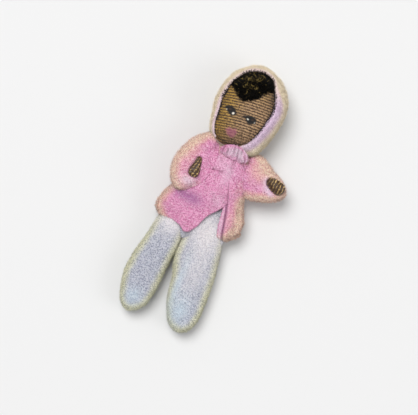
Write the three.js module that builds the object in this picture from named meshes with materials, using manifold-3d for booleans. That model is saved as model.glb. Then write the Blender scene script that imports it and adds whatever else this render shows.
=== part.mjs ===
// A small soft bendy doll on its back: plush coat with a hood, plush trousers, wadding and a wire skeleton.
// Millimetres. +Y points to the head, +Z to the front of the doll, +X to its left hand.
// The origin is on the flat of the coat back. Each limb and the head is a group at its own joint.
import * as THREE from 'three'
import { mergeVertices } from 'three/addons/utils/BufferGeometryUtils.js'
import Module from 'manifold-3d'

// Cloth, wadding, thread and wire
const plush_wall = 1.1
const hood_wall = 1.4
const jersey_wall = 0.6
const flat_depth = 0.5
const seam_gap = 0.3
const socket_gap = 0.35
const wire_radius = 0.5
const wire_room = 0.3
const knot_radius = 1.1
const thread_radius = 0.3
const bend_round_share = 1.05
const fullness_share = 0.9

// Coat
const coat_length = 33.8
const coat_top = 14.3
const coat_half_width = 16.3
const coat_half_depth = 7.7
const back_hem_drop = 15
const fold_depth_share = 0.045
const fold_count = 7
const fold_reach_share = 0.45
const coat_back_share = 0.95
// Hem to neck: height share, half width share, front depth share, sideways share of the half width
const coat_section_shares = [
  [0, 0.785, 0.79, -0.104],
  [0.133, 0.945, 0.81, -0.067],
  [0.222, 1, 0.84, -0.043],
  [0.34, 0.95, 0.89, -0.006],
  [0.488, 0.75, 0.96, 0.025],
  [0.636, 0.655, 1, 0.074],
  [0.814, 0.67, 0.98, 0.067],
  [0.917, 0.675, 0.9, 0.025],
  [0.97, 0.59, 0.8, 0.025],
  [1, 0.46, 0.66, 0.02],
]
// The front slit, neck to hem, then the hem of each front: shares of the half width and of the length below the top
const slit_shares = [
  [0.26, -0.1],
  [0.27, 0.31],
  [0.33, 0.42],
  [0.4, 0.54],
]
const right_hem_shares = [
  [0.3, 0.63],
  [0.19, 0.69],
  [0.11, 0.75],
  [0.05, 0.79],
  [-0.01, 0.875],
  [-0.1, 0.967],
  [-0.2, 0.982],
  [-0.33, 0.938],
  [-0.53, 0.911],
  [-0.88, 0.926],
  [-1.2, 0.87],
]
const left_hem_shares = [
  [0.5, 0.63],
  [0.56, 0.71],
  [0.615, 0.846],
  [0.61, 0.905],
  [0.67, 0.917],
  [0.83, 0.852],
  [0.96, 0.787],
  [1.2, 0.75],
]

// Wadding of the chest, and the trousers' seat
const chest_bottom = 2
const seat_top = 1.7
const seat_length = 22.6
const seat_half_width = 13.5
const seat_half_depth = 5.2
// Waist to hips: length share, half width share, sideways share of the half width
const seat_section_shares = [
  [0, 0.56, 0.09],
  [0.22, 0.68, 0.04],
  [0.46, 0.87, -0.05],
  [0.68, 0.94, -0.1],
  [1, 0.96, -0.115],
]
const waist_thread_drop = 1.2
const waist_thread_height = 1

// Neck and head
const neck_side = 0.3
const neck_place = 14.5
const neck_depth = 8.5
const neck_radius = 3.6
const neck_length = 5.5
const neck_thread_height = 0.9
const neck_thread_drop = 1.6
const neck_tilt_deg = 16
const neck_cone_width_share = 0.5
const head_length = 34.4
const chin_drop = 2.5
const head_half_width = 13.3
const head_half_depth = 10.5
const head_wire_length = 14
// Neck to crown: height share, half width share, half depth share
const head_section_shares = [
  [0, 0.45, 0.5],
  [0.076, 0.6, 0.68],
  [0.145, 0.73, 0.8],
  [0.218, 0.82, 0.87],
  [0.29, 0.88, 0.92],
  [0.407, 0.95, 0.97],
  [0.552, 1, 1],
  [0.698, 0.95, 0.98],
  [0.829, 0.8, 0.88],
  [0.922, 0.56, 0.68],
  [0.974, 0.33, 0.45],
  [1, 0, 0],
]

// Face, turned a little to the doll's right, with the thread round it and the tuft of hair over it
const face_side = -1.2
const face_centre = 15.4
const face_half_width = 9.2
const face_half_height = 14
const face_fullness_share = 0.87
const face_tuck = 1.4
const stitch_space = -0.1
const hood_edge_space = 1.1
const hair_thickness = 2.2
// Round the tuft: sideways share of the face half width, height share of the face half height
const hair_outline_shares = [
  [0.72, 0.47],
  [0.5, 0.38],
  [0.2, 0.33],
  [-0.1, 0.16],
  [-0.27, 0.16],
  [-0.5, 0.33],
  [-0.85, 0.42],
  [-0.8, 0.75],
  [-0.4, 1.05],
  [0.3, 1.1],
  [0.62, 0.8],
]

// Gathered cloth at the throat
const gather_length = 12.5
const gather_half_width = 2.3
const gather_half_depth = 1.9
const gather_side = -4.2
const gather_place = 13.1
const gather_depth = 13.6
const gather_fold_share = 0.16
// Along the gathers: length share, width share
const gather_section_shares = [
  [0, 0],
  [0.06, 0.5],
  [0.2, 0.85],
  [0.35, 0.8],
  [0.5, 1],
  [0.65, 0.82],
  [0.8, 0.9],
  [0.94, 0.5],
  [1, 0],
]
const gather_fold_count = 5

// Arms: a ball at the shoulder, a tapering sleeve, an opening near its end and a wound hand in it
const shoulder_radius = 5.2
const arm_half_width = 7.2
const arm_half_depth = 4.8
const arm_wire_gap = 3
// Shoulder to sleeve end: length share, half width share, half depth share
const arm_section_shares = [
  [0, 0.95, 0.98],
  [0.2, 1, 1],
  [0.37, 1, 1],
  [0.5, 0.93, 0.98],
  [0.64, 0.81, 0.95],
  [0.82, 0.61, 0.86],
  [0.93, 0.42, 0.66],
  [0.98, 0.22, 0.36],
  [1, 0, 0],
]
const hand_half_depth = 1.2
const hand_rise = 0.5
const hand_room = 0.4
const hand_wire_radius = 0.35
const hand_wire_share = 0.75
// Wrist to finger ends: length share, half width share, half depth share
const hand_section_shares = [
  [0, 0, 0],
  [0.05, 0.3, 0.6],
  [0.2, 0.55, 0.9],
  [0.45, 0.8, 1],
  [0.72, 1, 1],
  [0.9, 0.8, 0.85],
  [0.97, 0.45, 0.5],
  [1, 0, 0],
]
const left_arm = {
  side: 9.2,
  place: 8.4,
  rise: 1.3,
  turn_deg: -96.2,
  pitch_deg: 0,
  length: 15.7,
  wrist_side: -2.2,
  wrist_from_end: 8.5,
  hand_length: 7.4,
  hand_half_width: 2.4,
  hand_turn_deg: -8.6,
  clear_raise_deg: [-20, 12],
  clear_swing_deg: [-15, 40],
  rests_on_coat: false,
}
const right_arm = {
  side: -9.2,
  place: 9.9,
  rise: 3.3,
  turn_deg: 171.8,
  pitch_deg: 6,
  length: 15.7,
  wrist_side: -0.9,
  wrist_from_end: 12.9,
  hand_length: 7.6,
  hand_half_width: 1.85,
  hand_turn_deg: 8.5,
  clear_raise_deg: [-14, 24],
  clear_swing_deg: [0, 0],
  rests_on_coat: true,
}
const armhole_half_width = 8.6

// Legs: a ball at the hip, a tapering leg with a rounded end, and a knee
const hip_drop = 21.5
const hip_radius = 6
const leg_length = 32
const leg_half_depth = 5.8
const knee_place = 15.5
const knee_radius = 3
const knee_bend_deg = 75
const knee_straighten_deg = 10
const foot_wire_gap = 2.5
// Hip to foot end: length share, half width share, half depth share
const leg_section_shares = [
  [0, 0.9, 0.96],
  [0.12, 0.95, 1],
  [0.27, 0.98, 1],
  [0.42, 1, 0.98],
  [0.6, 0.98, 0.96],
  [0.73, 0.9, 0.92],
  [0.84, 0.76, 0.83],
  [0.93, 0.53, 0.62],
  [0.98, 0.28, 0.34],
  [1, 0, 0],
]
const left_leg = { side: 5.1, half_width: 8, turn_deg: 186.2, clear_spread_deg: [-8, 30] }
const right_leg = { side: -9.2, half_width: 7.2, turn_deg: 177.6, clear_spread_deg: [-30, 4] }
const clear_hip_swing_deg = [-20, 45]

// How finely the round shapes are cut, and a length past every piece for the cutting shapes
const limb_sides = 12
const coat_sides = 24
const head_sides = 20
const ball_sides = 12
const neck_cone_sides = 20
const ball_ring_share = 0.6
const knot_sides = 8
const wire_sides = 8
const face_steps = 32
const thread_sides = 5
const cut_reach = 60
const weld_distance = 0.0001
const sliver_volume_share = 0.0001

const coat_depth = coat_half_depth - flat_depth
const leg_depth = leg_half_depth - flat_depth
const head_depth = head_half_depth - flat_depth
const seat_floor = plush_wall + seam_gap
const bore_radius = wire_radius + wire_room
const knot_room = knot_radius + socket_gap

const wasm = await Module()
wasm.setup()

const plush_pink = new THREE.MeshStandardMaterial({ color: 0xe6a3c6, roughness: 0.95, metalness: 0 })
const plush_cream = new THREE.MeshStandardMaterial({ color: 0xecd9bd, roughness: 0.95, metalness: 0 })
const plush_white = new THREE.MeshStandardMaterial({ color: 0xd7d9dd, roughness: 0.95, metalness: 0 })
const jersey_brown = new THREE.MeshStandardMaterial({ color: 0x8a6a45, roughness: 0.9, metalness: 0 })
const thread_brown = new THREE.MeshStandardMaterial({ color: 0x6b4e22, roughness: 0.85, metalness: 0 })
const thread_black = new THREE.MeshStandardMaterial({ color: 0x1d1512, roughness: 0.85, metalness: 0 })
const mohair_black = new THREE.MeshStandardMaterial({ color: 0x14100e, roughness: 0.7, metalness: 0 })
const wadding_white = new THREE.MeshStandardMaterial({ color: 0xe9e4d8, roughness: 1, metalness: 0 })
const steel_wire = new THREE.MeshStandardMaterial({ color: 0x9a9a98, roughness: 0.4, metalness: 1 })

// A geometry as a solid that can be joined and cut
function solid(geometry) {
  const bare = new THREE.BufferGeometry()
  bare.setAttribute('position', geometry.getAttribute('position'))
  bare.setIndex(geometry.getIndex())
  const merged = mergeVertices(bare, weld_distance)
  const corners = merged.getIndex().array
  const faces = []
  for (let i = 0; i < corners.length; i += 3) {
    const [a, b, c] = [corners[i], corners[i + 1], corners[i + 2]]
    if (a !== b && b !== c && c !== a) faces.push(a, b, c)
  }
  return new wasm.Manifold(new wasm.Mesh({
    numProp: 3,
    vertProperties: merged.getAttribute('position').array,
    triVerts: new Uint32Array(faces),
  }))
}

// A cut can leave slivers thinner than the thread; they are no part of the piece
function withoutSlivers(shape) {
  const bodies = shape.decompose()
  const largest = bodies.reduce((a, b) => (a.volume() > b.volume() ? a : b))
  return bodies.every((body) => body === largest || body.volume() < sliver_volume_share * largest.volume())
    ? largest
    : shape
}

// A named mesh of a finished solid
function piece(name, shape, material) {
  const result = withoutSlivers(shape).getMesh()
  const geometry = new THREE.BufferGeometry()
  geometry.setAttribute('position', new THREE.BufferAttribute(result.vertProperties, 3))
  geometry.setIndex(new THREE.BufferAttribute(result.triVerts, 1))
  geometry.computeVertexNormals()
  const mesh = new THREE.Mesh(geometry, material)
  mesh.name = name
  return mesh
}

function power(value, exponent) {
  return Math.sign(value) * Math.abs(value) ** exponent
}

// Closed soft geometry through oval sections along +Y; a section of no width is a rounded tip
function loft(sections, { sides = limb_sides, floor = -Infinity, swell = () => 1 } = {}) {
  const positions = []
  const index = []
  const addVertex = (x, y, z) => positions.push(x, y, Math.max(z, floor)) / 3 - 1
  const rings = []
  for (const section of sections.filter((each) => each.width > 0)) {
    const ring = []
    for (let i = 0; i < sides; i += 1) {
      const angle = (2 * Math.PI * i) / sides
      const grown = swell(section, angle)
      const x = section.side + section.width * grown * power(Math.cos(angle), fullness_share)
      const depth = Math.sin(angle) < 0 && section.back ? section.back : section.depth
      const z = section.up + depth * grown * power(Math.sin(angle), fullness_share)
      ring.push(addVertex(x, section.at, z))
    }
    rings.push(ring)
  }
  for (let r = 0; r + 1 < rings.length; r += 1) {
    for (let i = 0; i < sides; i += 1) {
      const next = (i + 1) % sides
      index.push(rings[r][i], rings[r + 1][i], rings[r][next])
      index.push(rings[r][next], rings[r + 1][i], rings[r + 1][next])
    }
  }
  const [first, last] = [sections[0], sections[sections.length - 1]]
  const start = addVertex(first.side, first.at, first.up)
  const end = addVertex(last.side, last.at, last.up)
  for (let i = 0; i < sides; i += 1) {
    const next = (i + 1) % sides
    index.push(start, rings[0][i], rings[0][next])
    index.push(end, rings[rings.length - 1][next], rings[rings.length - 1][i])
  }
  const geometry = new THREE.BufferGeometry()
  geometry.setAttribute('position', new THREE.Float32BufferAttribute(positions, 3))
  geometry.setIndex(index)
  return geometry
}

// A ball, flattened where it would pass below the floor
function ball(radius, place = [0, 0, 0], floor = -Infinity, sides = ball_sides) {
  const geometry = new THREE.SphereGeometry(radius, sides, Math.round(sides * ball_ring_share))
  geometry.translate(...place)
  const positions = geometry.getAttribute('position')
  for (let i = 0; i < positions.count; i += 1) {
    positions.setZ(i, Math.max(positions.getZ(i), floor))
  }
  return solid(geometry)
}

// A round bar along +Y from one height to another
function bar(radius, from, to, side = 0, up = 0) {
  const geometry = new THREE.CylinderGeometry(radius, radius, to - from, wire_sides)
  geometry.translate(side, (from + to) / 2, up)
  return solid(geometry)
}

// A round bar between two points
function barBetween(radius, from, to) {
  const start = new THREE.Vector3(...from)
  const along = new THREE.Vector3(...to).sub(start)
  const geometry = new THREE.CylinderGeometry(radius, radius, along.length(), wire_sides)
  geometry.translate(0, along.length() / 2, 0)
  const turn = new THREE.Quaternion().setFromUnitVectors(new THREE.Vector3(0, 1, 0), along.clone().normalize())
  geometry.applyQuaternion(turn)
  geometry.translate(...from)
  return solid(geometry)
}

// A prism over an outline in the XY plane, between two depths
function prismGeometry(outline, from, to) {
  const shape = new THREE.Shape(outline.map(([x, y]) => new THREE.Vector2(x, y)))
  const geometry = new THREE.ExtrudeGeometry(shape, { depth: to - from, bevelEnabled: false })
  geometry.translate(0, 0, from)
  return geometry
}

function prism(outline, from = -cut_reach, to = cut_reach) {
  return solid(prismGeometry(outline, from, to))
}

// A box given by its two corners
function block(low, high) {
  const size = high.map((value, i) => value - low[i])
  const geometry = new THREE.BoxGeometry(...size)
  geometry.translate(...low.map((value, i) => value + size[i] / 2))
  return solid(geometry)
}

// A cone round the Y axis of the neck: everything past the slope on the side that the sign gives.
// Under the head it is steeper towards the shoulders than towards the chin.
function neckCone(sign) {
  const slope = Math.tan(THREE.MathUtils.degToRad(neck_tilt_deg / 2))
  const near = (sign * seam_gap) / 2
  const profile = [
    [0, near],
    [cut_reach, near + sign * slope * cut_reach],
    [cut_reach, -sign * cut_reach],
    [0, -sign * cut_reach],
  ]
  if (sign > 0) profile.reverse()
  const points = profile.map(([x, y]) => new THREE.Vector2(x, y))
  const geometry = new THREE.LatheGeometry(points, neck_cone_sides)
  if (sign > 0) geometry.scale(neck_cone_width_share, 1, 1)
  return geometry
}

// A joint's turn: swung forwards or back about the limb's own X axis, then sideways about its Z axis
function jointTurn(sideways_deg, swing_deg) {
  const sideways = new THREE.Matrix4().makeRotationZ(THREE.MathUtils.degToRad(sideways_deg))
  return sideways.multiply(new THREE.Matrix4().makeRotationX(THREE.MathUtils.degToRad(swing_deg)))
}

// Everything on one side of a limb's cross plane, at a height of its own axis
function pastPlane(height, sign) {
  return sign > 0
    ? block([-cut_reach, height, -cut_reach], [cut_reach, cut_reach, cut_reach])
    : block([-cut_reach, -cut_reach, -cut_reach], [cut_reach, height, cut_reach])
}

// What a limb leaves out, outside its ball, so that it stays before its cross plane at each end of its ranges
function rootRelief(sideways_range, swing_range, inset) {
  return sideways_range.flatMap((sideways) => swing_range.map((swing) =>
    pastPlane(inset, -1).transform(jointTurn(sideways, swing).invert().elements)))
}

// The wedge that a hinge across the limb clears: past the hinge plane on the far side, or before it on the near one
function hingeRelief(place, sign) {
  const back = Math.tan(THREE.MathUtils.degToRad(knee_bend_deg / 2)) * cut_reach
  const front = Math.tan(THREE.MathUtils.degToRad(knee_straighten_deg / 2)) * cut_reach
  const apex = place - (sign * seam_gap) / 2
  // The outline lies in the YZ plane: it is drawn as depth and height and turned upright
  const outline = [
    [apex, 0],
    [apex - sign * back, -cut_reach],
    [apex + sign * 2 * cut_reach, -cut_reach],
    [apex + sign * 2 * cut_reach, cut_reach],
    [apex - sign * front, cut_reach],
  ]
  if (sign < 0) outline.reverse()
  const geometry = prismGeometry(outline, -cut_reach, cut_reach)
  geometry.applyMatrix4(new THREE.Matrix4().makeBasis(
    new THREE.Vector3(0, 1, 0),
    new THREE.Vector3(0, 0, 1),
    new THREE.Vector3(1, 0, 0),
  ))
  return solid(geometry)
}

// Sections of a tapering limb, drawn in by an inset on every side
function limbSections(shares, length, half_width, half_depth, inset) {
  return shares.map(([along, width, depth]) => ({
    at: along * (length - inset),
    side: 0,
    up: 0,
    width: width * (half_width - inset),
    depth: depth * (half_depth - inset),
  }))
}

// Coat
function coatSwell(section, angle) {
  const reach = Math.max(0, 1 - section.share / fold_reach_share)
  return 1 + fold_depth_share * reach * Math.cos(fold_count * angle)
}

function coatGeometry(inset, opened = 0) {
  const hem = coat_top - coat_length
  const sections = coat_section_shares.map(([along, width, depth, side], i) => ({
    at: hem + along * (coat_length - inset) - (i === 0 ? opened : 0),
    share: along,
    side: side * coat_half_width,
    up: coat_depth,
    width: width * coat_half_width - inset,
    depth: depth * coat_half_depth - inset,
    back: Math.max(depth, coat_back_share) * coat_half_depth - inset,
  }))
  return loft(sections, { sides: coat_sides, floor: inset, swell: coatSwell })
}

// A row of front outline points, moved sideways by a gap
function frontPoints(shares, gap) {
  return shares.map(([side, drop]) => [side * coat_half_width + gap, coat_top - drop * coat_length])
}

function armMatrix(arm) {
  const turn = new THREE.Euler(
    THREE.MathUtils.degToRad(arm.pitch_deg), 0, THREE.MathUtils.degToRad(arm.turn_deg), 'ZXY')
  const place = new THREE.Vector3(...shoulderPlace(arm))
  return new THREE.Matrix4().compose(place, new THREE.Quaternion().setFromEuler(turn), new THREE.Vector3(1, 1, 1))
}

// Where an arm's cross plane leaves the coat's side, for the arm that stands straight out from it
function armhole(arm) {
  const outline = [
    [-armhole_half_width, -seam_gap],
    [armhole_half_width, -seam_gap],
    [armhole_half_width, cut_reach],
    [-armhole_half_width, cut_reach],
  ]
  return solid(prismGeometry(outline, -cut_reach, cut_reach).applyMatrix4(armMatrix(arm)))
}

// Each shoulder lies a little above the middle of the coat's depth
function shoulderPlace(arm) {
  return [arm.side, arm.place, coat_depth + arm.rise]
}

function hipPlace(leg) {
  return [leg.side, -hip_drop, leg_depth]
}

// Where a thigh goes as it swings, past its cross plane
function hipClearance(leg) {
  const place = new THREE.Matrix4().makeTranslation(...hipPlace(leg))
  place.multiply(new THREE.Matrix4().makeRotationZ(THREE.MathUtils.degToRad(leg.turn_deg)))
  return leg.clear_spread_deg.flatMap((spread) => clear_hip_swing_deg.map((swing) => pastPlane(-seam_gap, 1)
    .intersect(block([-leg.half_width, -cut_reach, -cut_reach], [leg.half_width, cut_reach, cut_reach]))
    .transform(place.clone().multiply(jointTurn(spread, swing)).elements)))
}

function neckPlaced(geometry) {
  return solid(geometry.translate(neck_side, neck_place, neck_depth))
}

function sockets() {
  return [
    ball(shoulder_radius + socket_gap, shoulderPlace(left_arm)),
    ball(shoulder_radius + socket_gap, shoulderPlace(right_arm)),
    ball(hip_radius + socket_gap, hipPlace(left_leg)),
    ball(hip_radius + socket_gap, hipPlace(right_leg)),
    armhole(left_arm),
    neckPlaced(neckCone(-1)),
  ]
}

function cutAll(shape, cutters) {
  return cutters.reduce((rest, cutter) => rest.subtract(cutter), shape)
}

function knot(radius, place = [0, 0, 0]) {
  return ball(radius, place, -Infinity, knot_sides)
}

function neckBar(radius, drop_from, drop_to) {
  return bar(radius, neck_place - drop_to, neck_place - drop_from, neck_side, neck_depth)
}

function coatPieces() {
  const neck_hole = neckBar(neck_radius + thread_radius * 2 + seam_gap * 2, -neck_length, neck_length)
  const shell = cutAll(solid(coatGeometry(0)), [
    solid(coatGeometry(plush_wall, cut_reach)),
    neck_hole,
    ...sockets(),
  ])
  const half_gap = seam_gap / 2
  const front_half = shell.subtract(block(
    [-cut_reach, -cut_reach, -cut_reach], [cut_reach, cut_reach, coat_depth + half_gap]))
  const back_half = cutAll(shell, [
    block([-cut_reach, -cut_reach, coat_depth - half_gap], [cut_reach, cut_reach, cut_reach]),
    block([-cut_reach, -cut_reach, -cut_reach], [cut_reach, -back_hem_drop, cut_reach]),
  ])
  const far_left = [cut_reach, coat_top + coat_length]
  const far_right = [-cut_reach, coat_top + coat_length]
  const right_outline = [
    ...frontPoints(slit_shares, -half_gap),
    ...frontPoints(right_hem_shares, 0),
    [-cut_reach, coat_top - coat_length],
    far_right,
  ]
  const left_outline = [
    ...frontPoints(slit_shares, half_gap),
    ...frontPoints(left_hem_shares, 0),
    [cut_reach, coat_top - coat_length / 2],
    far_left,
  ]
  const front = (outline) => front_half.intersect(prism([...outline].reverse()))
  return [
    piece('jacket_back', back_half, plush_pink),
    piece('jacket_front_right', front(right_outline), plush_pink),
    piece('jacket_front_left', front(left_outline), plush_pink),
  ]
}

// The gathers lie across the throat, on the coat and under the chin
function collarGather() {
  const sections = gather_section_shares.map(([along, width]) => ({
    at: along * gather_length,
    side: 0,
    up: 0,
    width: width * gather_half_width,
    depth: width * gather_half_depth,
  }))
  const swell = (section, angle) => 1 + gather_fold_share * Math.cos(gather_fold_count * angle)
  const geometry = loft(sections, { sides: coat_sides, swell })
  geometry.rotateZ(-Math.PI / 2)
  geometry.translate(gather_side, gather_place, gather_depth)
  return cutAll(solid(geometry), [
    solid(coatGeometry(-seam_gap)),
    neckPlaced(neckCone(-1)),
  ])
}

// Trousers' seat
function seatGeometry(inset, floor) {
  const sections = seat_section_shares.map(([along, width, side]) => ({
    at: -(along * (seat_length - inset) - seat_top + (1 - along) * inset),
    side: side * seat_half_width,
    up: seat_floor + seat_half_depth,
    width: width * seat_half_width - inset,
    depth: seat_half_depth - inset,
  }))
  return loft(sections.reverse(), { floor })
}

function spineBar(radius, extra) {
  return barBetween(radius,
    [neck_side, neck_place - knot_room - wire_room + extra, neck_depth],
    [0, -hip_drop / 2 - extra, coat_depth])
}

function shoulderBar(radius, extra) {
  const from = new THREE.Vector3(...shoulderPlace(left_arm))
  const to = new THREE.Vector3(...shoulderPlace(right_arm))
  const step = to.clone().sub(from).normalize().multiplyScalar(shoulder_radius + socket_gap + wire_room - extra)
  const lift = new THREE.Vector3(0, 0, 2 * wire_radius + wire_room)
  return barBetween(radius, from.add(step).add(lift).toArray(), to.sub(step).add(lift).toArray())
}

// The hip wire is a yoke: two stretches from the hips up to one bend below the spine wire
function hipYoke(radius, extra) {
  const bend = new THREE.Vector3(0, -hip_drop / 2 - 2 * wire_radius - 2 * wire_room, coat_depth)
  const stretches = [left_leg, right_leg].map((leg) => {
    const hip = new THREE.Vector3(...hipPlace(leg))
    const step = bend.clone().sub(hip).normalize()
    const end = hip.add(step.multiplyScalar(hip_radius + socket_gap + wire_room - extra))
    return barBetween(radius, end.toArray(), bend.toArray())
  })
  return stretches[0].add(stretches[1]).add(knot(radius * bend_round_share, bend.toArray()))
}

function ring(inner, outer) {
  return outer.subtract(inner)
}

function torsoGroup() {
  const wire_holes = [
    spineBar(bore_radius, wire_room),
    shoulderBar(bore_radius, wire_room + seam_gap),
    hipYoke(bore_radius, wire_room + seam_gap),
  ]
  const padding_inset = plush_wall + seam_gap
  const below_chest = block([-cut_reach, -cut_reach, -cut_reach], [cut_reach, chest_bottom, cut_reach])
  const neck_room = neckBar(neck_radius + thread_radius * 2 + seam_gap * 2, -cut_reach, neck_length + seam_gap)
  const torso_padding = cutAll(solid(coatGeometry(padding_inset)), [
    below_chest, neck_room, ...sockets(), ...wire_holes])
  const neck_padding = cutAll(neckBar(neck_radius, 0, neck_length), [
    neckPlaced(neckCone(-1)),
    knot(knot_room, [neck_side, neck_place, neck_depth]),
    ...wire_holes,
  ])
  const thread_band = (radius) => neckBar(radius, neck_thread_drop, neck_thread_drop + neck_thread_height)
  const neck_thread = ring(
    neckBar(neck_radius + seam_gap, 0, neck_length),
    thread_band(neck_radius + seam_gap + thread_radius),
  )
  const seat_outer = solid(seatGeometry(0, seat_floor))
  const seat_inner = solid(seatGeometry(plush_wall, seat_floor + plush_wall))
  const hip_clearances = [...hipClearance(left_leg), ...hipClearance(right_leg)]
  const seat_cover = cutAll(seat_outer.subtract(seat_inner), [...sockets(), ...wire_holes, ...hip_clearances])
  const seat_padding = cutAll(
    solid(seatGeometry(plush_wall + seam_gap, seat_floor + plush_wall + seam_gap)),
    [...sockets(), ...wire_holes, ...hip_clearances])
  const waist = (inset) => solid(seatGeometry(inset, seat_floor))
  const waist_slab = block(
    [-cut_reach, seat_top - waist_thread_drop - waist_thread_height, -cut_reach],
    [cut_reach, seat_top - waist_thread_drop, cut_reach])
  const waist_thread = ring(waist(-seam_gap), waist(-seam_gap - thread_radius)).intersect(waist_slab)
  const group = new THREE.Group()
  group.add(
    ...coatPieces(),
    piece('collar_gather', collarGather(), plush_pink),
    piece('torso_padding', torso_padding, wadding_white),
    piece('neck_padding', neck_padding, wadding_white),
    piece('neck_thread', neck_thread, thread_black),
    piece('seat_cover', seat_cover, plush_white),
    piece('seat_padding', seat_padding, wadding_white),
    piece('waist_thread', waist_thread, thread_brown),
    piece('spine_wire', spineBar(wire_radius, 0), steel_wire),
    piece('shoulder_wire', shoulderBar(wire_radius, 0), steel_wire),
    piece('hip_wire', hipYoke(wire_radius, 0), steel_wire),
  )
  return group
}

// Head, in a group at the neck joint
function headSections(inset) {
  return head_section_shares.map(([along, width, depth]) => ({
    at: inset - chin_drop + along * (head_length - 2 * inset),
    side: 0,
    up: head_depth - neck_depth,
    width: width * (head_half_width - inset),
    depth: depth * (head_half_depth - inset),
  }))
}

function headGeometry(inset) {
  return loft(headSections(inset), { sides: head_sides, floor: inset - neck_depth })
}

// How far in front of the neck joint the head's surface lies at a place on the face
function headFront(x, y, inset) {
  const sections = headSections(inset)
  const passed = sections.filter((section) => section.at < y).length
  const above = THREE.MathUtils.clamp(passed, 1, sections.length - 1)
  const [low, high] = [sections[above - 1], sections[above]]
  const share = (y - low.at) / (high.at - low.at)
  const width = THREE.MathUtils.lerp(low.width, high.width, share)
  const depth = THREE.MathUtils.lerp(low.depth, high.depth, share)
  const across = Math.min(1, Math.abs(x) / width)
  return low.up + depth * (1 - across ** (2 / fullness_share)) ** (fullness_share / 2)
}

// The face outline, grown outwards by a space
function faceOutline(space) {
  const points = []
  for (let i = 0; i < face_steps; i += 1) {
    const angle = (2 * Math.PI * i) / face_steps
    points.push([
      face_side + (face_half_width + space) * power(Math.cos(angle), face_fullness_share),
      face_centre + (face_half_height + space) * power(Math.sin(angle), face_fullness_share),
    ])
  }
  return points
}

// One closed thread that follows the face outline on the jersey
function stitchRing() {
  const positions = []
  const index = []
  const inset = hood_wall + seam_gap
  const path = faceOutline(stitch_space).map(([x, y]) => {
    const z = headFront(x, y, inset)
    const slope_x = (headFront(x + thread_radius, y, inset) - z) / thread_radius
    const slope_y = (z - headFront(x, y - thread_radius, inset)) / thread_radius
    const out = new THREE.Vector3(-slope_x, -slope_y, 1).normalize()
    return new THREE.Vector3(x, y, z).addScaledVector(out, thread_radius + seam_gap)
  })
  path.forEach((point, i) => {
    const before = path[(i + path.length - 1) % path.length]
    const after = path[(i + 1) % path.length]
    const along = after.clone().sub(before).normalize()
    const out = new THREE.Vector3(0, 0, 1).cross(along).normalize()
    const up = along.clone().cross(out)
    for (let k = 0; k < thread_sides; k += 1) {
      const angle = (2 * Math.PI * k) / thread_sides
      const corner = point.clone()
        .addScaledVector(out, thread_radius * Math.cos(angle))
        .addScaledVector(up, thread_radius * Math.sin(angle))
      positions.push(...corner.toArray())
      const next = (k + 1) % thread_sides
      const start = i * thread_sides
      const ahead = ((i + 1) % path.length) * thread_sides
      index.push(start + k, start + next, ahead + k, start + next, ahead + next, ahead + k)
    }
  })
  const geometry = new THREE.BufferGeometry()
  geometry.setAttribute('position', new THREE.Float32BufferAttribute(positions, 3))
  geometry.setIndex(index)
  return solid(geometry)
}

function headGroup() {
  const jersey_inset = hood_wall + seam_gap
  const padding_inset = jersey_inset + jersey_wall + seam_gap
  const below = solid(neckCone(1))
  const front = -neck_depth + head_depth
  const wire_from = knot_room + wire_room
  const wire_hole = bar(bore_radius, -cut_reach, wire_from + head_wire_length + wire_room)
  const knot_hole = knot(knot_room)
  const hood = cutAll(solid(headGeometry(0)), [
    solid(headGeometry(hood_wall)),
    prism(faceOutline(hood_edge_space), front, cut_reach),
    below,
    wire_hole,
    knot_hole,
  ])
  const face = solid(headGeometry(jersey_inset))
    .subtract(solid(headGeometry(jersey_inset + jersey_wall)))
    .intersect(prism(faceOutline(hood_edge_space + face_tuck), front, cut_reach))
    .subtract(below)
  const padding = cutAll(solid(headGeometry(padding_inset)), [below, wire_hole, knot_hole])
  const hair_outline = hair_outline_shares.map(([side, height]) => [
    face_side + side * face_half_width, face_centre + height * face_half_height])
  const hair = solid(headGeometry(jersey_inset - seam_gap - hair_thickness))
    .subtract(solid(headGeometry(jersey_inset - seam_gap)))
    .intersect(prism(hair_outline.reverse(), front, cut_reach))
    .intersect(prism(faceOutline(-thread_radius), front, cut_reach))
  const group = new THREE.Group()
  group.position.set(neck_side, neck_place, neck_depth)
  group.add(
    piece('neck_knot', knot(knot_radius), steel_wire),
    piece('neck_wire', bar(wire_radius, wire_from, wire_from + head_wire_length), steel_wire),
    piece('hood', hood, plush_cream),
    piece('face', face, jersey_brown),
    piece('face_stitching', stitchRing(), thread_black),
    piece('head_padding', padding, wadding_white),
    piece('hair', hair, mohair_black),
  )
  return group
}

// A ball end's wire way: the knot's room, open towards the body, and the bore of the limb's wire
function ballRoom(wire_end) {
  return [
    knot(knot_room),
    bar(knot_room, -cut_reach, 0),
    bar(bore_radius, 0, wire_end + wire_room),
  ]
}

// Arms
function handSolid(arm, grow) {
  const sections = hand_section_shares.map(([along, width, depth]) => ({
    at: -grow + along * (arm.hand_length + 2 * grow),
    side: 0,
    up: 0,
    width: width > 0 ? width * arm.hand_half_width + grow : 0,
    depth: depth > 0 ? depth * hand_half_depth + grow : 0,
  }))
  return loft(sections)
}

function handPlaced(geometry, arm) {
  geometry.rotateZ(THREE.MathUtils.degToRad(arm.hand_turn_deg))
  geometry.translate(arm.wrist_side, arm.length - arm.wrist_from_end, handDepth())
  return solid(geometry)
}

function handDepth() {
  return arm_half_depth + hand_rise - hand_half_depth
}

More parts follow.
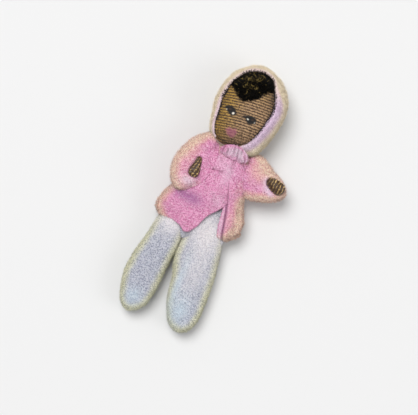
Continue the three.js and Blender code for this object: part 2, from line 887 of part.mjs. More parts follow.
// The opening over the hand: the hand's own outline with room round it, from its under side outwards
function handOpening(arm) {
  const sides = [1, -1].map((sign) => hand_section_shares.map(([along, width]) => [
    sign * (width * arm.hand_half_width + hand_room),
    along * (arm.hand_length + 2 * hand_room) - hand_room,
  ]))
  const outline = [...sides[0], ...sides[1].reverse()]
  return handPlaced(prismGeometry(outline, -hand_half_depth - hand_room, cut_reach), arm)
}

function armGroup(arm, name) {
  const matrix = armMatrix(arm)
  const torso = (inset) => solid(coatGeometry(-seam_gap - inset).applyMatrix4(matrix.clone().invert()))
  const floor = -shoulderPlace(arm)[2]
  const shape = (inset) => {
    const sections = limbSections(arm_section_shares, arm.length, arm_half_width, arm_half_depth, inset)
    const tube = cutAll(
      solid(loft(sections, { floor: floor + inset })),
      rootRelief(arm.clear_raise_deg, arm.clear_swing_deg, inset))
    const clear_tube = arm.rests_on_coat ? tube.subtract(torso(inset)) : tube
    return clear_tube.add(ball(shoulder_radius - inset))
  }
  const wire_from = knot_room + wire_room
  const wire_to = arm.length - arm_wire_gap
  const wire = bar(wire_radius, wire_from, wire_to)
  const room = ballRoom(wire_to)
  const opening = handOpening(arm)
  const sleeve = cutAll(shape(0), [shape(plush_wall), opening, ...room])
  const padding = cutAll(shape(plush_wall + seam_gap), [opening, ...room])
  const hand_wire_length = arm.hand_length * hand_wire_share
  const hand_wire = (radius, from) => handPlaced(
    new THREE.CylinderGeometry(radius, radius, hand_wire_length + 2 * from, wire_sides)
      .translate(0, hand_wire_length / 2, 0), arm)
  const hand = handPlaced(handSolid(arm, 0), arm).subtract(hand_wire(hand_wire_radius + wire_room / 2, wire_room))
  const group = new THREE.Group()
  group.applyMatrix4(matrix)
  group.add(
    piece(`shoulder_knot_${name}`, knot(knot_radius), steel_wire),
    piece(`sleeve_${name}`, sleeve, plush_pink),
    piece(`arm_padding_${name}`, padding, wadding_white),
    piece(`arm_wire_${name}`, arm.rests_on_coat ? wire.subtract(torso(0)) : wire, steel_wire),
    piece(`hand_${name}`, hand, thread_brown),
    piece(`hand_wire_${name}`, hand_wire(hand_wire_radius, 0), steel_wire),
  )
  return group
}

// Legs
function legGroup(leg, name) {
  const floor = -leg_depth
  const past_knee = hingeRelief(knee_place, 1)
  const before_knee = hingeRelief(knee_place, -1)
  const knuckle = ball(knee_radius, [0, knee_place, 0])
  const knee_socket = ball(knee_radius + socket_gap, [0, knee_place, 0])
  const tube = (inset) => solid(loft(
    limbSections(leg_section_shares, leg_length, leg.half_width, leg_half_depth, inset),
    { floor: floor + inset }))
  const hip_ball = (inset) => ball(hip_radius - inset, [0, 0, 0], floor + inset)
  const thigh = (inset) => cutAll(tube(inset), rootRelief(leg.clear_spread_deg, [0], inset)).add(hip_ball(inset))
  const wire_from = knot_room + wire_room
  const wire_to = knee_place - knee_radius - socket_gap - wire_room
  const thigh_ends = [past_knee, knee_socket, ...ballRoom(cut_reach)]
  const thigh_cover = cutAll(thigh(0), [thigh(plush_wall), ...thigh_ends])
  const thigh_padding = cutAll(thigh(plush_wall + seam_gap), thigh_ends)
  const shank_from = knee_place - knee_radius / 2
  const shank_to = leg_length - foot_wire_gap
  const shank_hole = bar(bore_radius, 0, shank_to + wire_room)
  const shank_cover = cutAll(tube(0), [tube(plush_wall), before_knee])
  const shank_padding = tube(plush_wall + seam_gap).subtract(before_knee).add(knuckle).subtract(shank_hole)
  const group = new THREE.Group()
  group.position.set(...hipPlace(leg))
  group.rotation.z = THREE.MathUtils.degToRad(leg.turn_deg)
  group.add(
    piece(`hip_knot_${name}`, knot(knot_radius), steel_wire),
    piece(`thigh_cover_${name}`, thigh_cover, plush_white),
    piece(`thigh_padding_${name}`, thigh_padding, wadding_white),
    piece(`thigh_wire_${name}`, bar(wire_radius, wire_from, wire_to), steel_wire),
    piece(`shank_cover_${name}`, shank_cover, plush_white),
    piece(`shank_padding_${name}`, shank_padding, wadding_white),
    piece(`shank_wire_${name}`, bar(wire_radius, shank_from, shank_to), steel_wire),
  )
  return group
}

const doll = new THREE.Group()
doll.add(
  torsoGroup(),
  headGroup(),
  armGroup(left_arm, 'left'),
  armGroup(right_arm, 'right'),
  legGroup(left_leg, 'left'),
  legGroup(right_leg, 'right'),
)

export default doll
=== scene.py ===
"""The looks of a small soft bendy doll: hooded plush coat, plush trousers, jersey face and wound hands.

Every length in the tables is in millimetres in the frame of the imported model: +Y to the head, +Z to the front
of the doll and +X to its left hand. The doll lies on its back on the floor at height 0.
"""

import logging
import math
from dataclasses import dataclass, field
from enum import Enum
from functools import partial
from itertools import product

import bpy
import numpy as np
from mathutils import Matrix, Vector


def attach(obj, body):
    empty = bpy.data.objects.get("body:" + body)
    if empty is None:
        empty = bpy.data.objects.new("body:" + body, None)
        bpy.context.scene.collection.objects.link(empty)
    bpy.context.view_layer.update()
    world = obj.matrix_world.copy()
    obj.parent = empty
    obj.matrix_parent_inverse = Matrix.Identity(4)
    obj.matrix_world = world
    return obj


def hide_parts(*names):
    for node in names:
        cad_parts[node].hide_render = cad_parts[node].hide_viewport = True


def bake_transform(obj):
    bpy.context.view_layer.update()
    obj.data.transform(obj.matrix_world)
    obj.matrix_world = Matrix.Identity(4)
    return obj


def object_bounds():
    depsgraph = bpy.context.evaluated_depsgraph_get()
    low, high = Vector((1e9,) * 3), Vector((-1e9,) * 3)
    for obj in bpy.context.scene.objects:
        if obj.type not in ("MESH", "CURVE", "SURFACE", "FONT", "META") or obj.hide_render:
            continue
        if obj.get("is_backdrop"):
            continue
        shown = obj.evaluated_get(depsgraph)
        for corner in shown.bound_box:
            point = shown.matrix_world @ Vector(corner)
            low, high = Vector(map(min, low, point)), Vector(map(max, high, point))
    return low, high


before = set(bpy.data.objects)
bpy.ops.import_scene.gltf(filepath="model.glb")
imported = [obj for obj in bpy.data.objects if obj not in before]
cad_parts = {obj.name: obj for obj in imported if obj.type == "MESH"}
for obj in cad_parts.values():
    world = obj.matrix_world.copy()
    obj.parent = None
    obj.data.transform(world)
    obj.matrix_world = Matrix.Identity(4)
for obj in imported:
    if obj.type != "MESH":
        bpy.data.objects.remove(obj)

cad_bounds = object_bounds()

LOG = logging.getLogger("bendy_doll")
METRES_PER_MM = 0.001
SIDES = ("left", "right")
TINY = 1e-9
# Large odd numbers that stir a place into a number of chance
PLACE_STIR = (73856093, 19349663, 83492791)
SEED_STIR = 2654435761
LAST_STIR = 1274126177
CHANCE_MASK = 0x7FFFFFFF
# A blade of pile has two corners at its root, two half way up and a tip
BLADE_POINTS = 5

Points = np.ndarray
Values = dict[str, np.ndarray]


# Small tools for shapes


def unit(vectors: Points) -> Points:
    """Scale each vector to a length of one."""
    return vectors / np.maximum(np.linalg.norm(vectors, axis=-1, keepdims=True), TINY)


def ramp(values: np.ndarray, low: float, high: float) -> np.ndarray:
    """Rise smoothly from 0 at one value to 1 at another."""
    share = np.clip((values - low) / (high - low), 0, 1)
    return share * share * (3 - 2 * share)


def softened(values: np.ndarray, reach: float) -> np.ndarray:
    """Take the corners off a row of values and leave its two ends in place.

    Args:
        values: A row of numbers, or rows of points.
        reach: How many neighbours each way have a say.

    Returns:
        The softer row.
    """
    span = int(3 * reach)
    weights = np.exp(-0.5 * (np.arange(-span, span + 1) / reach) ** 2)
    weights /= weights.sum()
    columns = values.reshape(len(values), -1)
    before = 2 * columns[:1] - columns[span:0:-1]
    after = 2 * columns[-1:] - columns[-2 : -span - 2 : -1]
    padded = np.concatenate([before, columns, after])
    smooth = np.stack([np.convolve(column, weights, "valid") for column in padded.T], axis=1)
    return smooth.reshape(values.shape)


def along_line(line: Points, shares: np.ndarray) -> Points:
    """Find the points at shares of a line's length.

    Args:
        line: The corner points of the line.
        shares: Shares of its whole length, from 0 to 1.

    Returns:
        One point for each share.
    """
    steps = np.linalg.norm(np.diff(line, axis=0), axis=1)
    length = np.concatenate([[0], np.cumsum(steps)])
    at = shares * length[-1]
    return np.stack([np.interp(at, length, line[:, k]) for k in range(line.shape[1])], axis=1)


def value_noise(points: Points, cell: float, seed: int) -> np.ndarray:
    """Give soft lumps of chance in space.

    Args:
        points: Where it is looked up.
        cell: The size of a lump, in millimetres.
        seed: A number that picks the pattern.

    Returns:
        Numbers from -1 to 1.
    """
    scaled = points / cell
    base = np.floor(scaled).astype(np.int64)
    part = scaled - base
    part = part * part * (3 - 2 * part)
    total = np.zeros(len(points))
    for corner in product((0, 1), repeat=3):
        place = base + corner
        x, y, z = (place * PLACE_STIR).T
        mixed = x ^ y ^ z ^ seed * SEED_STIR
        mixed = (mixed ^ (mixed >> 13)) * LAST_STIR & CHANCE_MASK
        weight = np.prod(np.where(np.array(corner) == 1, part, 1 - part), axis=1)
        total += weight * (mixed / CHANCE_MASK)
    return total * 2 - 1


def distance_to_line(points: Points, line: Points) -> np.ndarray:
    """Measure how far points are from a line, seen from above.

    Args:
        points: Places, of which only X and Y count.
        line: The corner points of the line.

    Returns:
        The least distance of each point.
    """
    best = np.full(len(points), np.inf)
    for start, end in zip(line[:-1], line[1:]):
        step = end - start
        share = np.clip(((points[:, :2] - start) @ step) / max(step @ step, TINY), 0, 1)
        best = np.minimum(best, np.linalg.norm(points[:, :2] - start - share[:, None] * step, axis=1))
    return best


def inside_outline(points: Points, outline: Points) -> np.ndarray:
    """Test which points lie inside a closed outline, seen from above.

    Args:
        points: Places, of which only X and Y count.
        outline: The corners of the outline.

    Returns:
        True where a point is inside.
    """
    found = np.zeros(len(points), bool)
    for (x0, y0), (x1, y1) in zip(outline, np.roll(outline, -1, axis=0)):
        crosses = (y0 > points[:, 1]) != (y1 > points[:, 1])
        height = y1 - y0 if abs(y1 - y0) > TINY else TINY
        found ^= crosses & (points[:, 0] < (x1 - x0) * (points[:, 1] - y0) / height + x0)
    return found


def closed(outline: list | Points) -> Points:
    """Return an outline with its first corner once more at its end."""
    return np.array([*outline, outline[0]], float)


def depth_within(points: Points, outline: list | Points) -> np.ndarray:
    """Measure how far inside a closed outline points are, seen from above."""
    away = distance_to_line(points, closed(outline))
    return np.where(inside_outline(points, np.array(outline)), away, -away)


def raised(flat: Points, height: np.ndarray) -> Points:
    """Give places that are seen from above their heights."""
    return np.concatenate([flat, height[..., None]], axis=-1)


def full_turn(count: int) -> np.ndarray:
    """Return evenly spaced angles of a whole turn."""
    return 2 * np.pi * np.arange(count) / count


def squared_off(wave: np.ndarray, power: float) -> np.ndarray:
    """Make a wave from -1 to 1 fuller, with its signs kept, so that a ring comes nearer to a rectangle."""
    return np.sign(wave) * np.abs(wave) ** power


@dataclass
class Surface:
    """A mesh in millimetres, with named values at its points."""

    points: Points
    faces: list[np.ndarray]
    values: Values = field(default_factory=dict)
    shading: Points | None = None

    def corners(self) -> np.ndarray:
        """Split the faces into triangles.

        Returns:
            The numbers of each triangle's three points.
        """
        parts = []
        for faces in self.faces:
            parts.append(faces[:, [0, 1, 2]])
            if faces.shape[1] == 4:
                parts.append(faces[:, [0, 2, 3]])
        return np.concatenate(parts)

    def normals(self) -> Points:
        """Find the direction that the surface looks in at each point.

        Returns:
            A vector of length one for each point.
        """
        triangles = self.corners()
        a, b, c = (self.points[triangles[:, k]] for k in range(3))
        across = np.cross(b - a, c - a)
        total = np.zeros_like(self.points)
        for k in range(3):
            np.add.at(total, triangles[:, k], across)
        return unit(total)

    def turned_over(self) -> "Surface":
        """Turn every face over."""
        self.faces = [faces[:, ::-1] for faces in self.faces]
        return self

    def mesh_object(self, name: str, finish: "Finish") -> bpy.types.Object:
        """Make the Blender object of the surface.

        Args:
            name: The piece's name.
            finish: The finish that the piece gets.

        Returns:
            The object, in metres.
        """
        mesh = bpy.data.meshes.new(name)
        sizes = np.concatenate([np.full(len(faces), faces.shape[1]) for faces in self.faces])
        mesh.vertices.add(len(self.points))
        mesh.vertices.foreach_set("co", (self.points * METRES_PER_MM).astype(np.float32).ravel())
        mesh.loops.add(int(sizes.sum()))
        corners = np.concatenate([faces.ravel() for faces in self.faces])
        mesh.loops.foreach_set("vertex_index", corners.astype(np.int32))
        mesh.polygons.add(len(sizes))
        mesh.polygons.foreach_set("loop_start", (np.cumsum(sizes) - sizes).astype(np.int32))
        mesh.polygons.foreach_set("use_smooth", np.ones(len(sizes), bool))
        for label, values in self.values.items():
            layer = mesh.attributes.new(label, "FLOAT", "POINT")
            layer.data.foreach_set("value", values.astype(np.float32))
        place = mesh.attributes.new("place", "FLOAT_VECTOR", "POINT")
        place.data.foreach_set("vector", self.points.astype(np.float32).ravel())
        mesh.update(calc_edges=True)
        mesh.validate()
        if self.shading is not None:
            mesh.normals_split_custom_set_from_vertices(self.shading.tolist())
        mesh.materials.append(finish.material())
        piece = bpy.data.objects.new(name, mesh)
        bpy.context.scene.collection.objects.link(piece)
        return piece


def outward(surface: Surface) -> Surface:
    """Turn the faces of a closed surface so that they look outwards.

    Args:
        surface: The closed surface.

    Returns:
        The same surface.
    """
    triangles = surface.corners()
    a, b, c = (surface.points[triangles[:, k]] for k in range(3))
    return surface.turned_over() if (a * np.cross(b, c)).sum() < 0 else surface


def merged(surfaces: list[Surface]) -> Surface:
    """Put many surfaces into one.

    Args:
        surfaces: The surfaces, all with the same named values.

    Returns:
        One surface of them all.
    """
    shifts = np.cumsum([0, *[len(surface.points) for surface in surfaces]])
    faces = {}
    for shift, surface in zip(shifts, surfaces):
        for part in surface.faces:
            faces.setdefault(part.shape[1], []).append(part + shift)
    return Surface(
        np.concatenate([surface.points for surface in surfaces]),
        [np.concatenate(parts) for parts in faces.values()],
        {name: np.concatenate([surface.values[name] for surface in surfaces]) for name in surfaces[0].values},
    )


def grid_faces(rows: int, columns: int, closed: bool) -> np.ndarray:
    """Number the faces of a grid of points.

    Args:
        rows: How many rows of points there are.
        columns: How many points a row has.
        closed: Whether the last column joins the first.

    Returns:
        Four point numbers for each face.
    """
    across = np.arange(columns if closed else columns - 1)
    row = np.arange(rows - 1)[:, None] * columns
    here, there = row + across, row + (across + 1) % columns
    return np.stack([here, there, there + columns, here + columns], axis=-1).reshape(-1, 4)


def tube(rings: Points, first_tip: bool = True, last_tip: bool = True) -> Surface:
    """Skin a row of rings.

    Args:
        rings: Rows of points, each row one closed ring.
        first_tip: Whether the first ring is closed off.
        last_tip: Whether the last ring is closed off.

    Returns:
        The surface, which looks outwards.
    """
    rows, columns = rings.shape[:2]
    points = rings.reshape(-1, 3)
    here = np.arange(columns)
    there = (here + 1) % columns
    caps = []
    for has_tip, row, near, far in ((first_tip, 0, there, here), (last_tip, rows - 1, here, there)):
        if has_tip:
            start = row * columns
            caps.append(np.stack([start + near, start + far, np.full(columns, len(points))], axis=1))
            points = np.concatenate([points, rings[row].mean(0)[None]])
    faces = [grid_faces(rows, columns, True), *([np.concatenate(caps)] if caps else [])]
    return outward(Surface(points, faces))


def swept_tube(line: Points, radius: np.ndarray, sides: int) -> Surface:
    """Make a round thread along a line.

    Args:
        line: The points down its middle.
        radius: Its radius at each point.
        sides: How many sides it has.

    Returns:
        The thread, closed at both ends.
    """
    ahead = unit(np.gradient(line, axis=0))
    helper = np.where(np.abs(ahead[:, [2]]) < 0.9, [[0.0, 0.0, 1.0]], [[1.0, 0.0, 0.0]])
    side = unit(np.cross(helper, ahead))
    up = np.cross(ahead, side)
    turn = full_turn(sides)
    rings = line[:, None] + radius[:, None, None] * (
        np.cos(turn)[:, None] * side[:, None] + np.sin(turn)[:, None] * up[:, None]
    )
    return tube(rings)


def patch(
    left: Points, right: Points, top: Points, bottom: Points, across: np.ndarray, down: np.ndarray
) -> Points:
    """Fill the space between four edges with a grid, seen from above.

    Args:
        left: The left edge, from its top end down.
        right: The right edge, from its top end down.
        top: The top edge, from its left end.
        bottom: The bottom edge, from its left end.
        across: Shares across at which the columns lie.
        down: Shares down at which the rows lie.

    Returns:
        The grid's points, as rows by columns by two.
    """
    u, v = across[None, :, None], down[:, None, None]
    west, east = along_line(left, down)[:, None], along_line(right, down)[:, None]
    north, south = along_line(top, across)[None], along_line(bottom, across)[None]
    corners = (
        (1 - u) * (1 - v) * left[0] + u * (1 - v) * right[0] + (1 - u) * v * left[-1] + u * v * right[-1]
    )
    return (1 - u) * west + u * east + (1 - v) * north + v * south - corners


def thickened(grid: Points, thickness: float) -> Surface:
    """Give a grid of points the thickness of its cloth, with a round edge.

    Args:
        grid: The outer side, as rows by columns by three.
        thickness: The cloth's thickness.

    Returns:
        A closed surface.
    """
    rows, columns = grid.shape[:2]
    outer = Surface(grid.reshape(-1, 3), [grid_faces(rows, columns, False)])
    normals = outer.normals()
    if normals[:, 2].mean() < 0:
        outer.faces = [outer.faces[0][:, ::-1]]
        normals = -normals
    inner = outer.points - normals * thickness
    count = rows * columns
    numbers = np.arange(count).reshape(rows, columns)
    rim = np.concatenate([numbers[0], numbers[1:, -1], numbers[-1, -2::-1], numbers[-2:0:-1, 0]])
    ahead = np.roll(rim, -1)
    middle = (outer.points[rim] + inner[rim]) / 2
    out = unit(middle - np.roll(middle, 1, axis=0))
    out = np.cross(unit(np.roll(out, -1, axis=0) + out), normals[rim])
    turned = np.sign((out * (middle - grid.mean((0, 1)))).sum(1).mean())
    bulge = middle + out * turned * thickness / 2
    edge = 2 * count + np.arange(len(rim))
    beyond = np.roll(edge, -1)
    strips = [
        np.stack([rim, edge, beyond, ahead], axis=1),
        np.stack([edge, rim + count, ahead + count, beyond], axis=1),
    ]
    shape = Surface(
        np.concatenate([outer.points, inner, bulge]),
        [outer.faces[0], outer.faces[0][:, ::-1] + count, *strips],
    )
    near, side, _, far = (shape.points[strips[0][:, k]] for k in range(4))
    if (np.cross(side - near, far - near) * (out * turned)).sum() < 0:
        shape.faces[2:] = [strip[:, ::-1] for strip in strips]
    return shape


# Finishes


def linear(code: str) -> tuple[float, float, float, float]:
    """Turn an sRGB hex colour to linear light."""
    channels = [int(code[i : i + 2], 16) / 255 for i in (1, 3, 5)]
    return (*[c / 12.92 if c <= 0.04045 else ((c + 0.055) / 1.055) ** 2.4 for c in channels], 1.0)


def add_node(
    tree: bpy.types.NodeTree, kind: str, inputs: dict | None = None, output: int | str = 0, **settings
) -> bpy.types.NodeSocket:
    """Add a node, set it and link it.

    Args:
        tree: The node tree.
        kind: The node's type, without the word that all types begin with.
        inputs: A number, a colour code or an output socket for each named or numbered input.
        output: The name or number of the output that is asked for.
        **settings: The node's own settings.

    Returns:
        The output's socket.
    """
    node = tree.nodes.new(f"ShaderNode{kind}")
    for name, value in settings.items():
        setattr(node, name, value)
    for name, value in (inputs or {}).items():
        if isinstance(value, bpy.types.NodeSocket):
            tree.links.new(value, node.inputs[name])
        else:
            node.inputs[name].default_value = linear(value) if isinstance(value, str) else value
    return node.outputs[output]


# Settings that several nodes share
COLOUR_MIX = {"output": 2, "data_type": "RGBA"}
SMOOTH_RANGE = {"interpolation_type": "SMOOTHSTEP"}
PLACE_AT_REST = {"output": "Vector", "attribute_name": "place"}


class Finish:
    """What a piece is made of, as a material that is made once."""

    def material(self) -> bpy.types.Material:
        """Find the finish's material, or make it the first time.

        Returns:
            The material.
        """
        found = bpy.data.materials.get(self.name)
        if found is None:
            found = bpy.data.materials.new(self.name)
            found.use_nodes = True
            tree = found.node_tree
            tree.nodes.clear()
            surface = tree.nodes.new("ShaderNodeOutputMaterial").inputs["Surface"]
            tree.links.new(self.shader(tree), surface)
        return found


@dataclass(frozen=True)
class PlushPile(Finish):
    """Short cut pile of a synthetic plush. It scatters light softly, and its roots take a painted shade, as
    shade falls deep in the pile.
    """

    name: str
    heart: str
    blush: str
    edge: str
    shade: str
    lining: str
    # The root colour is a painted shade deep in the pile
    root: str
    # The fleck colour is the plush's speckle and a painted shade in the hollows between tufts
    fleck: str
    tip_colour: str = "#fffafa"
    fleck_size: float = 0.45
    fleck_share: float = 0.7
    # How much fewer flecks there are under the shade and lining tints, painted shade and highlights among them
    fleck_calm: float = 0.7
    # How much painted highlight the raised tufts' tips take
    tip_light: float = 0.25
    tuft_height: float = 0.6
    # How much painted shade the roots take
    root_depth: float = 0.5
    # How much lighter the roots are at the rim, where light comes through the pile
    rim_opening: float = 0.6
    patch_size: float = 2.6
    patchiness: float = 0.14
    # Where each tint begins and where it is whole, as shares of the rim or of the noise
    blush_range: tuple[float, float] = (0.05, 0.6)
    edge_range: tuple[float, float] = (0.35, 1.15)
    fleck_range: tuple[float, float] = (0.54, 0.36)
    tip_range: tuple[float, float] = (0.52, 0.68)
    patch_range: tuple[float, float] = (0.3, 0.7)

    def shader(self, tree: bpy.types.NodeTree) -> bpy.types.NodeSocket:
        """Build the plush: tints from the middle to the rim, flecks, painted shade at the roots and a soft
        sheen.

        Args:
            tree: The material's node tree.

        Returns:
            The shader's socket.
        """
        add = partial(add_node, tree)
        rim, shade, lining, tip, strand = (
            add("Attribute", output="Fac", attribute_name=name)
            for name in ("rim", "shade", "lining", "tip", "strand")
        )
        place = add("Attribute", **PLACE_AT_REST)
        patches, grain = (
            add("TexNoise", {"Vector": place, "Scale": 1 / lump, "Detail": detail}, "Fac")
            for lump, detail in ((self.patch_size, 2.0), (self.fleck_size, 1.0))
        )
        uneven = add("MapRange", {0: patches, 1: self.patch_range[0], 2: self.patch_range[1]}, **SMOOTH_RANGE)
        patchy_rim = add("Math", {0: uneven, 1: self.patchiness, 2: rim}, operation="MULTIPLY_ADD")
        ranges = (
            (patchy_rim, self.blush_range), (patchy_rim, self.edge_range), (grain, self.fleck_range),
            (grain, self.tip_range), (rim, (0.0, 1.0)),
        )
        blush, edge, dark, light, open_pile = (
            add("MapRange", {0: value, 1: low, 2: high}, **SMOOTH_RANGE) for value, (low, high) in ranges
        )
        smooth = add("Math", {0: shade, 1: lining}, operation="MAXIMUM")
        calm = -self.fleck_calm * self.fleck_share
        rough = add("Math", {0: smooth, 1: calm, 2: self.fleck_share}, operation="MULTIPLY_ADD")
        # Flecks: speckle with painted shade where the tufts' bump sinks, and a painted highlight where it rises
        fleck = add("Math", {0: dark, 1: rough}, operation="MULTIPLY")
        light = add("Math", {0: light, 1: self.tip_light}, operation="MULTIPLY")
        # Painted shade at the roots of the pile, less of it at the rim
        depth = add("Math", {0: tip, 1: -self.root_depth, 2: self.root_depth}, operation="MULTIPLY_ADD")
        open_pile = add("Math", {0: open_pile, 1: -self.rim_opening, 2: 1.0}, operation="MULTIPLY_ADD")
        root = add("Math", {0: depth, 1: open_pile}, operation="MULTIPLY")
        colour = self.heart
        for share, tint, mode in (
            (blush, self.blush, "MIX"), (edge, self.edge, "MIX"), (shade, self.shade, "MIX"),
            (lining, self.lining, "MIX"), (fleck, self.fleck, "MULTIPLY"), (light, self.tip_colour, "MIX"),
            (root, self.root, "MIX"),
        ):
            colour = add("Mix", {0: share, 6: colour, 7: tint}, blend_type=mode, **COLOUR_MIX)
        colour = add("HueSaturation", {"Value": strand, "Color": colour})
        tufts = add("Bump", {"Height": grain, "Distance": self.tuft_height * METRES_PER_MM})
        return add("BsdfPrincipled", {
            "Base Color": colour, "Normal": tufts, "Roughness": 0.95, "Sheen Weight": 0.2, "IOR": 1.5,
            "Specular IOR Level": 0.15,
        })


@dataclass(frozen=True)
class RibbedJersey(Finish):
    """Fine stocking jersey. Its ribs show as lit crests and dark gaps, a little uneven."""

    name: str
    crest: str
    gap: str
    warm: str
    # The edge colour paints the dark sewn edge and the painted shade round the face and under the tuft
    edge: str
    mouth: str
    lips: str
    eye: str
    iris: str
    glint: str
    stitch: float = 0.5
    stitch_relief: float = 3.2
    crest_range: tuple[float, float] = (1.45, 3.0)

    def shader(self, tree: bpy.types.NodeTree) -> bpy.types.NodeSocket:
        """Build the jersey: ribs, stitches, a warm cast, paint, and the dark edge, which also carries painted
        shade.

        Args:
            tree: The material's node tree.

        Returns:
            The shader's socket.
        """
        add = partial(add_node, tree)
        layers = ("mouth", "lips", "edge", "eye", "iris", "glint")
        names = ("rib", "warm", *layers)
        held = {name: add("Attribute", output="Fac", attribute_name=name) for name in names}
        place = add("Attribute", **PLACE_AT_REST)
        stitches = add("TexNoise", {"Vector": place, "Scale": 1 / self.stitch, "Detail": 3.0}, "Fac")
        broken = add("Math", {0: stitches, 1: self.stitch_relief, 2: held["rib"]}, operation="MULTIPLY_ADD")
        lit = add("MapRange", {0: broken, 1: self.crest_range[0], 2: self.crest_range[1]}, **SMOOTH_RANGE)
        crest = add("Mix", {0: held["warm"], 6: self.crest, 7: self.warm}, **COLOUR_MIX)
        colour = add("Mix", {0: lit, 6: self.gap, 7: crest}, **COLOUR_MIX)
        for name in layers:
            colour = add("Mix", {0: held[name], 6: colour, 7: getattr(self, name)}, **COLOUR_MIX)
        cloth = {"Base Color": colour, "Roughness": 0.75, "Sheen Weight": 0.1, "IOR": 1.5}
        return add("BsdfPrincipled", cloth)


@dataclass(frozen=True)
class Thread(Finish):
    """Twisted cotton thread. Its fibres break up the light, so crests look pale and the gaps dark."""

    name: str
    crest: str
    deep: str
    lump: float = 0.5
    roughness: float = 0.7
    sheen: float = 0.1
    gloss: float = 0.5

    def shader(self, tree: bpy.types.NodeTree) -> bpy.types.NodeSocket:
        """Build the thread: pale crests, dark turns and a little gloss.

        Args:
            tree: The material's node tree.

        Returns:
            The shader's socket.
        """
        add = partial(add_node, tree)
        crest = add("Attribute", output="Fac", attribute_name="crest")
        place = add("Attribute", **PLACE_AT_REST)
        patches = add("TexNoise", {"Vector": place, "Scale": 1 / self.lump, "Detail": 3.0}, "Fac")
        patchy = add("MapRange", {0: patches, 1: 0.35, 2: 0.65}, **SMOOTH_RANGE)
        share = add("Math", {0: crest, 1: patchy}, operation="MULTIPLY")
        colour = add("Mix", {0: share, 6: self.deep, 7: self.crest}, **COLOUR_MIX)
        return add("BsdfPrincipled", {
            "Base Color": colour, "Roughness": self.roughness, "IOR": 1.5, "Sheen Weight": self.sheen,
            "Specular IOR Level": self.gloss,
        })


@dataclass(frozen=True)
class AnnealedWire(Finish):
    """Soft annealed steel wire: grey, with a dull shine and darker scale in patches."""

    name: str
    colour: str
    scale: str

    def shader(self, tree: bpy.types.NodeTree) -> bpy.types.NodeSocket:
        """Build the wire: a metal with darker scale in patches.

        Args:
            tree: The material's node tree.

        Returns:
            The shader's socket.
        """
        patches = add_node(tree, "TexNoise", {"Scale": 900.0, "Detail": 3.0}, "Fac")
        share = add_node(tree, "MapRange", {0: patches, 1: 0.4, 2: 0.65}, **SMOOTH_RANGE)
        colour = add_node(tree, "Mix", {0: share, 6: self.colour, 7: self.scale}, **COLOUR_MIX)
        return add_node(tree, "BsdfPrincipled", {"Base Color": colour, "Metallic": 1.0, "Roughness": 0.45})


@dataclass(frozen=True)
class SewingThread(Finish):
    """Waxed cotton thread of the ties inside: close turns, matte, without values in its mesh."""

    name: str
    colour: str
    deep: str
    turn: float = 0.3

    def shader(self, tree: bpy.types.NodeTree) -> bpy.types.NodeSocket:
        """Build the tie: close wound turns across its height.

        Args:
            tree: The material's node tree.

        Returns:
            The shader's socket.
        """
        place = add_node(tree, "TexCoord", output="Object")
        scale = 1 / (self.turn * METRES_PER_MM * round(math.tau, 2))
        inputs = {"Vector": place, "Scale": scale, "Distortion": 0.6}
        turns = add_node(tree, "TexWave", inputs, "Fac", bands_direction="Y")
        colour = add_node(tree, "Mix", {0: turns, 6: self.deep, 7: self.colour}, **COLOUR_MIX)
        return add_node(tree, "BsdfPrincipled", {"Base Color": colour, "Roughness": 0.8, "IOR": 1.5})


@dataclass(frozen=True)
class PaintedBoard(Finish):
    """The pale board that the doll lies on: smooth matte paint."""

    name: str
    colour: str

    def shader(self, tree: bpy.types.NodeTree) -> bpy.types.NodeSocket:
        """Build the board: one even colour."""
        return add_node(tree, "BsdfPrincipled", {"Base Color": self.colour, "Roughness": 0.9})


COAT_PLUSH = PlushPile(
    "coat_plush", heart="#f6aed4", blush="#fac3c6", edge="#fadec2", shade="#c07eb0", lining="#f6dcec",
    root="#d886b2", fleck="#d2a0bc",
)
HOOD_PLUSH = PlushPile(
    "hood_plush", heart="#fae2d8", blush="#fae8d0", edge="#fbebcb", shade="#e2c4e4", lining="#e4c6e8",
    root="#f0dec8", fleck="#d4c4b8", fleck_share=0.45,
)
# The trousers' shade and lining colours are pale: they paint highlights
TROUSER_PLUSH = PlushPile(
    "trouser_plush", heart="#ced0dc", blush="#e4e4dc", edge="#eeebc4", shade="#d6e8f4", lining="#f8f2f4",
    root="#a8aab6", fleck="#9498ae",
)
FACE_JERSEY = RibbedJersey(
    "face_jersey", crest="#c09a72", gap="#3e2a19", warm="#b8903c", edge="#150c0a", mouth="#bc7084",
    lips="#742c50", iris="#4a2c16", eye="#0c0806", glint="#efe6d8",
)
OVERCAST_THREAD = Thread("overcast_thread", crest="#3a2420", deep="#120b0a", roughness=0.8)
MOHAIR = Thread("mohair", crest="#a08a52", deep="#050404", lump=2.0, roughness=0.5, sheen=0.0, gloss=0.08)
HAND_THREAD = Thread("hand_thread", crest="#f2cb82", deep="#422a14", lump=0.7, roughness=0.4)
SKELETON_WIRE = AnnealedWire("skeleton_wire", colour="#a3a3a0", scale="#6b6864")
TIE_THREAD = SewingThread("tie_thread", colour="#5a4630", deep="#2a1d12")
BOARD = PaintedBoard("painted_board", colour="#e9e9e9")


# Pile


def scattered(directions: Points, lift: float) -> Points:
    """Lean directions to the doll's front, because pile passes light on and shades less than cloth."""
    forwards = lift * (1 + directions[:, [2]]) / 2
    return unit(directions + forwards * np.array([0.0, 0.0, 1.0]))


def blended(rows: np.ndarray, corners: np.ndarray, weights: np.ndarray) -> np.ndarray:
    """Weigh what the corners of triangles hold."""
    return (rows[corners] * weights.reshape(len(weights), 3, *[1] * (rows.ndim - 1))).sum(1)


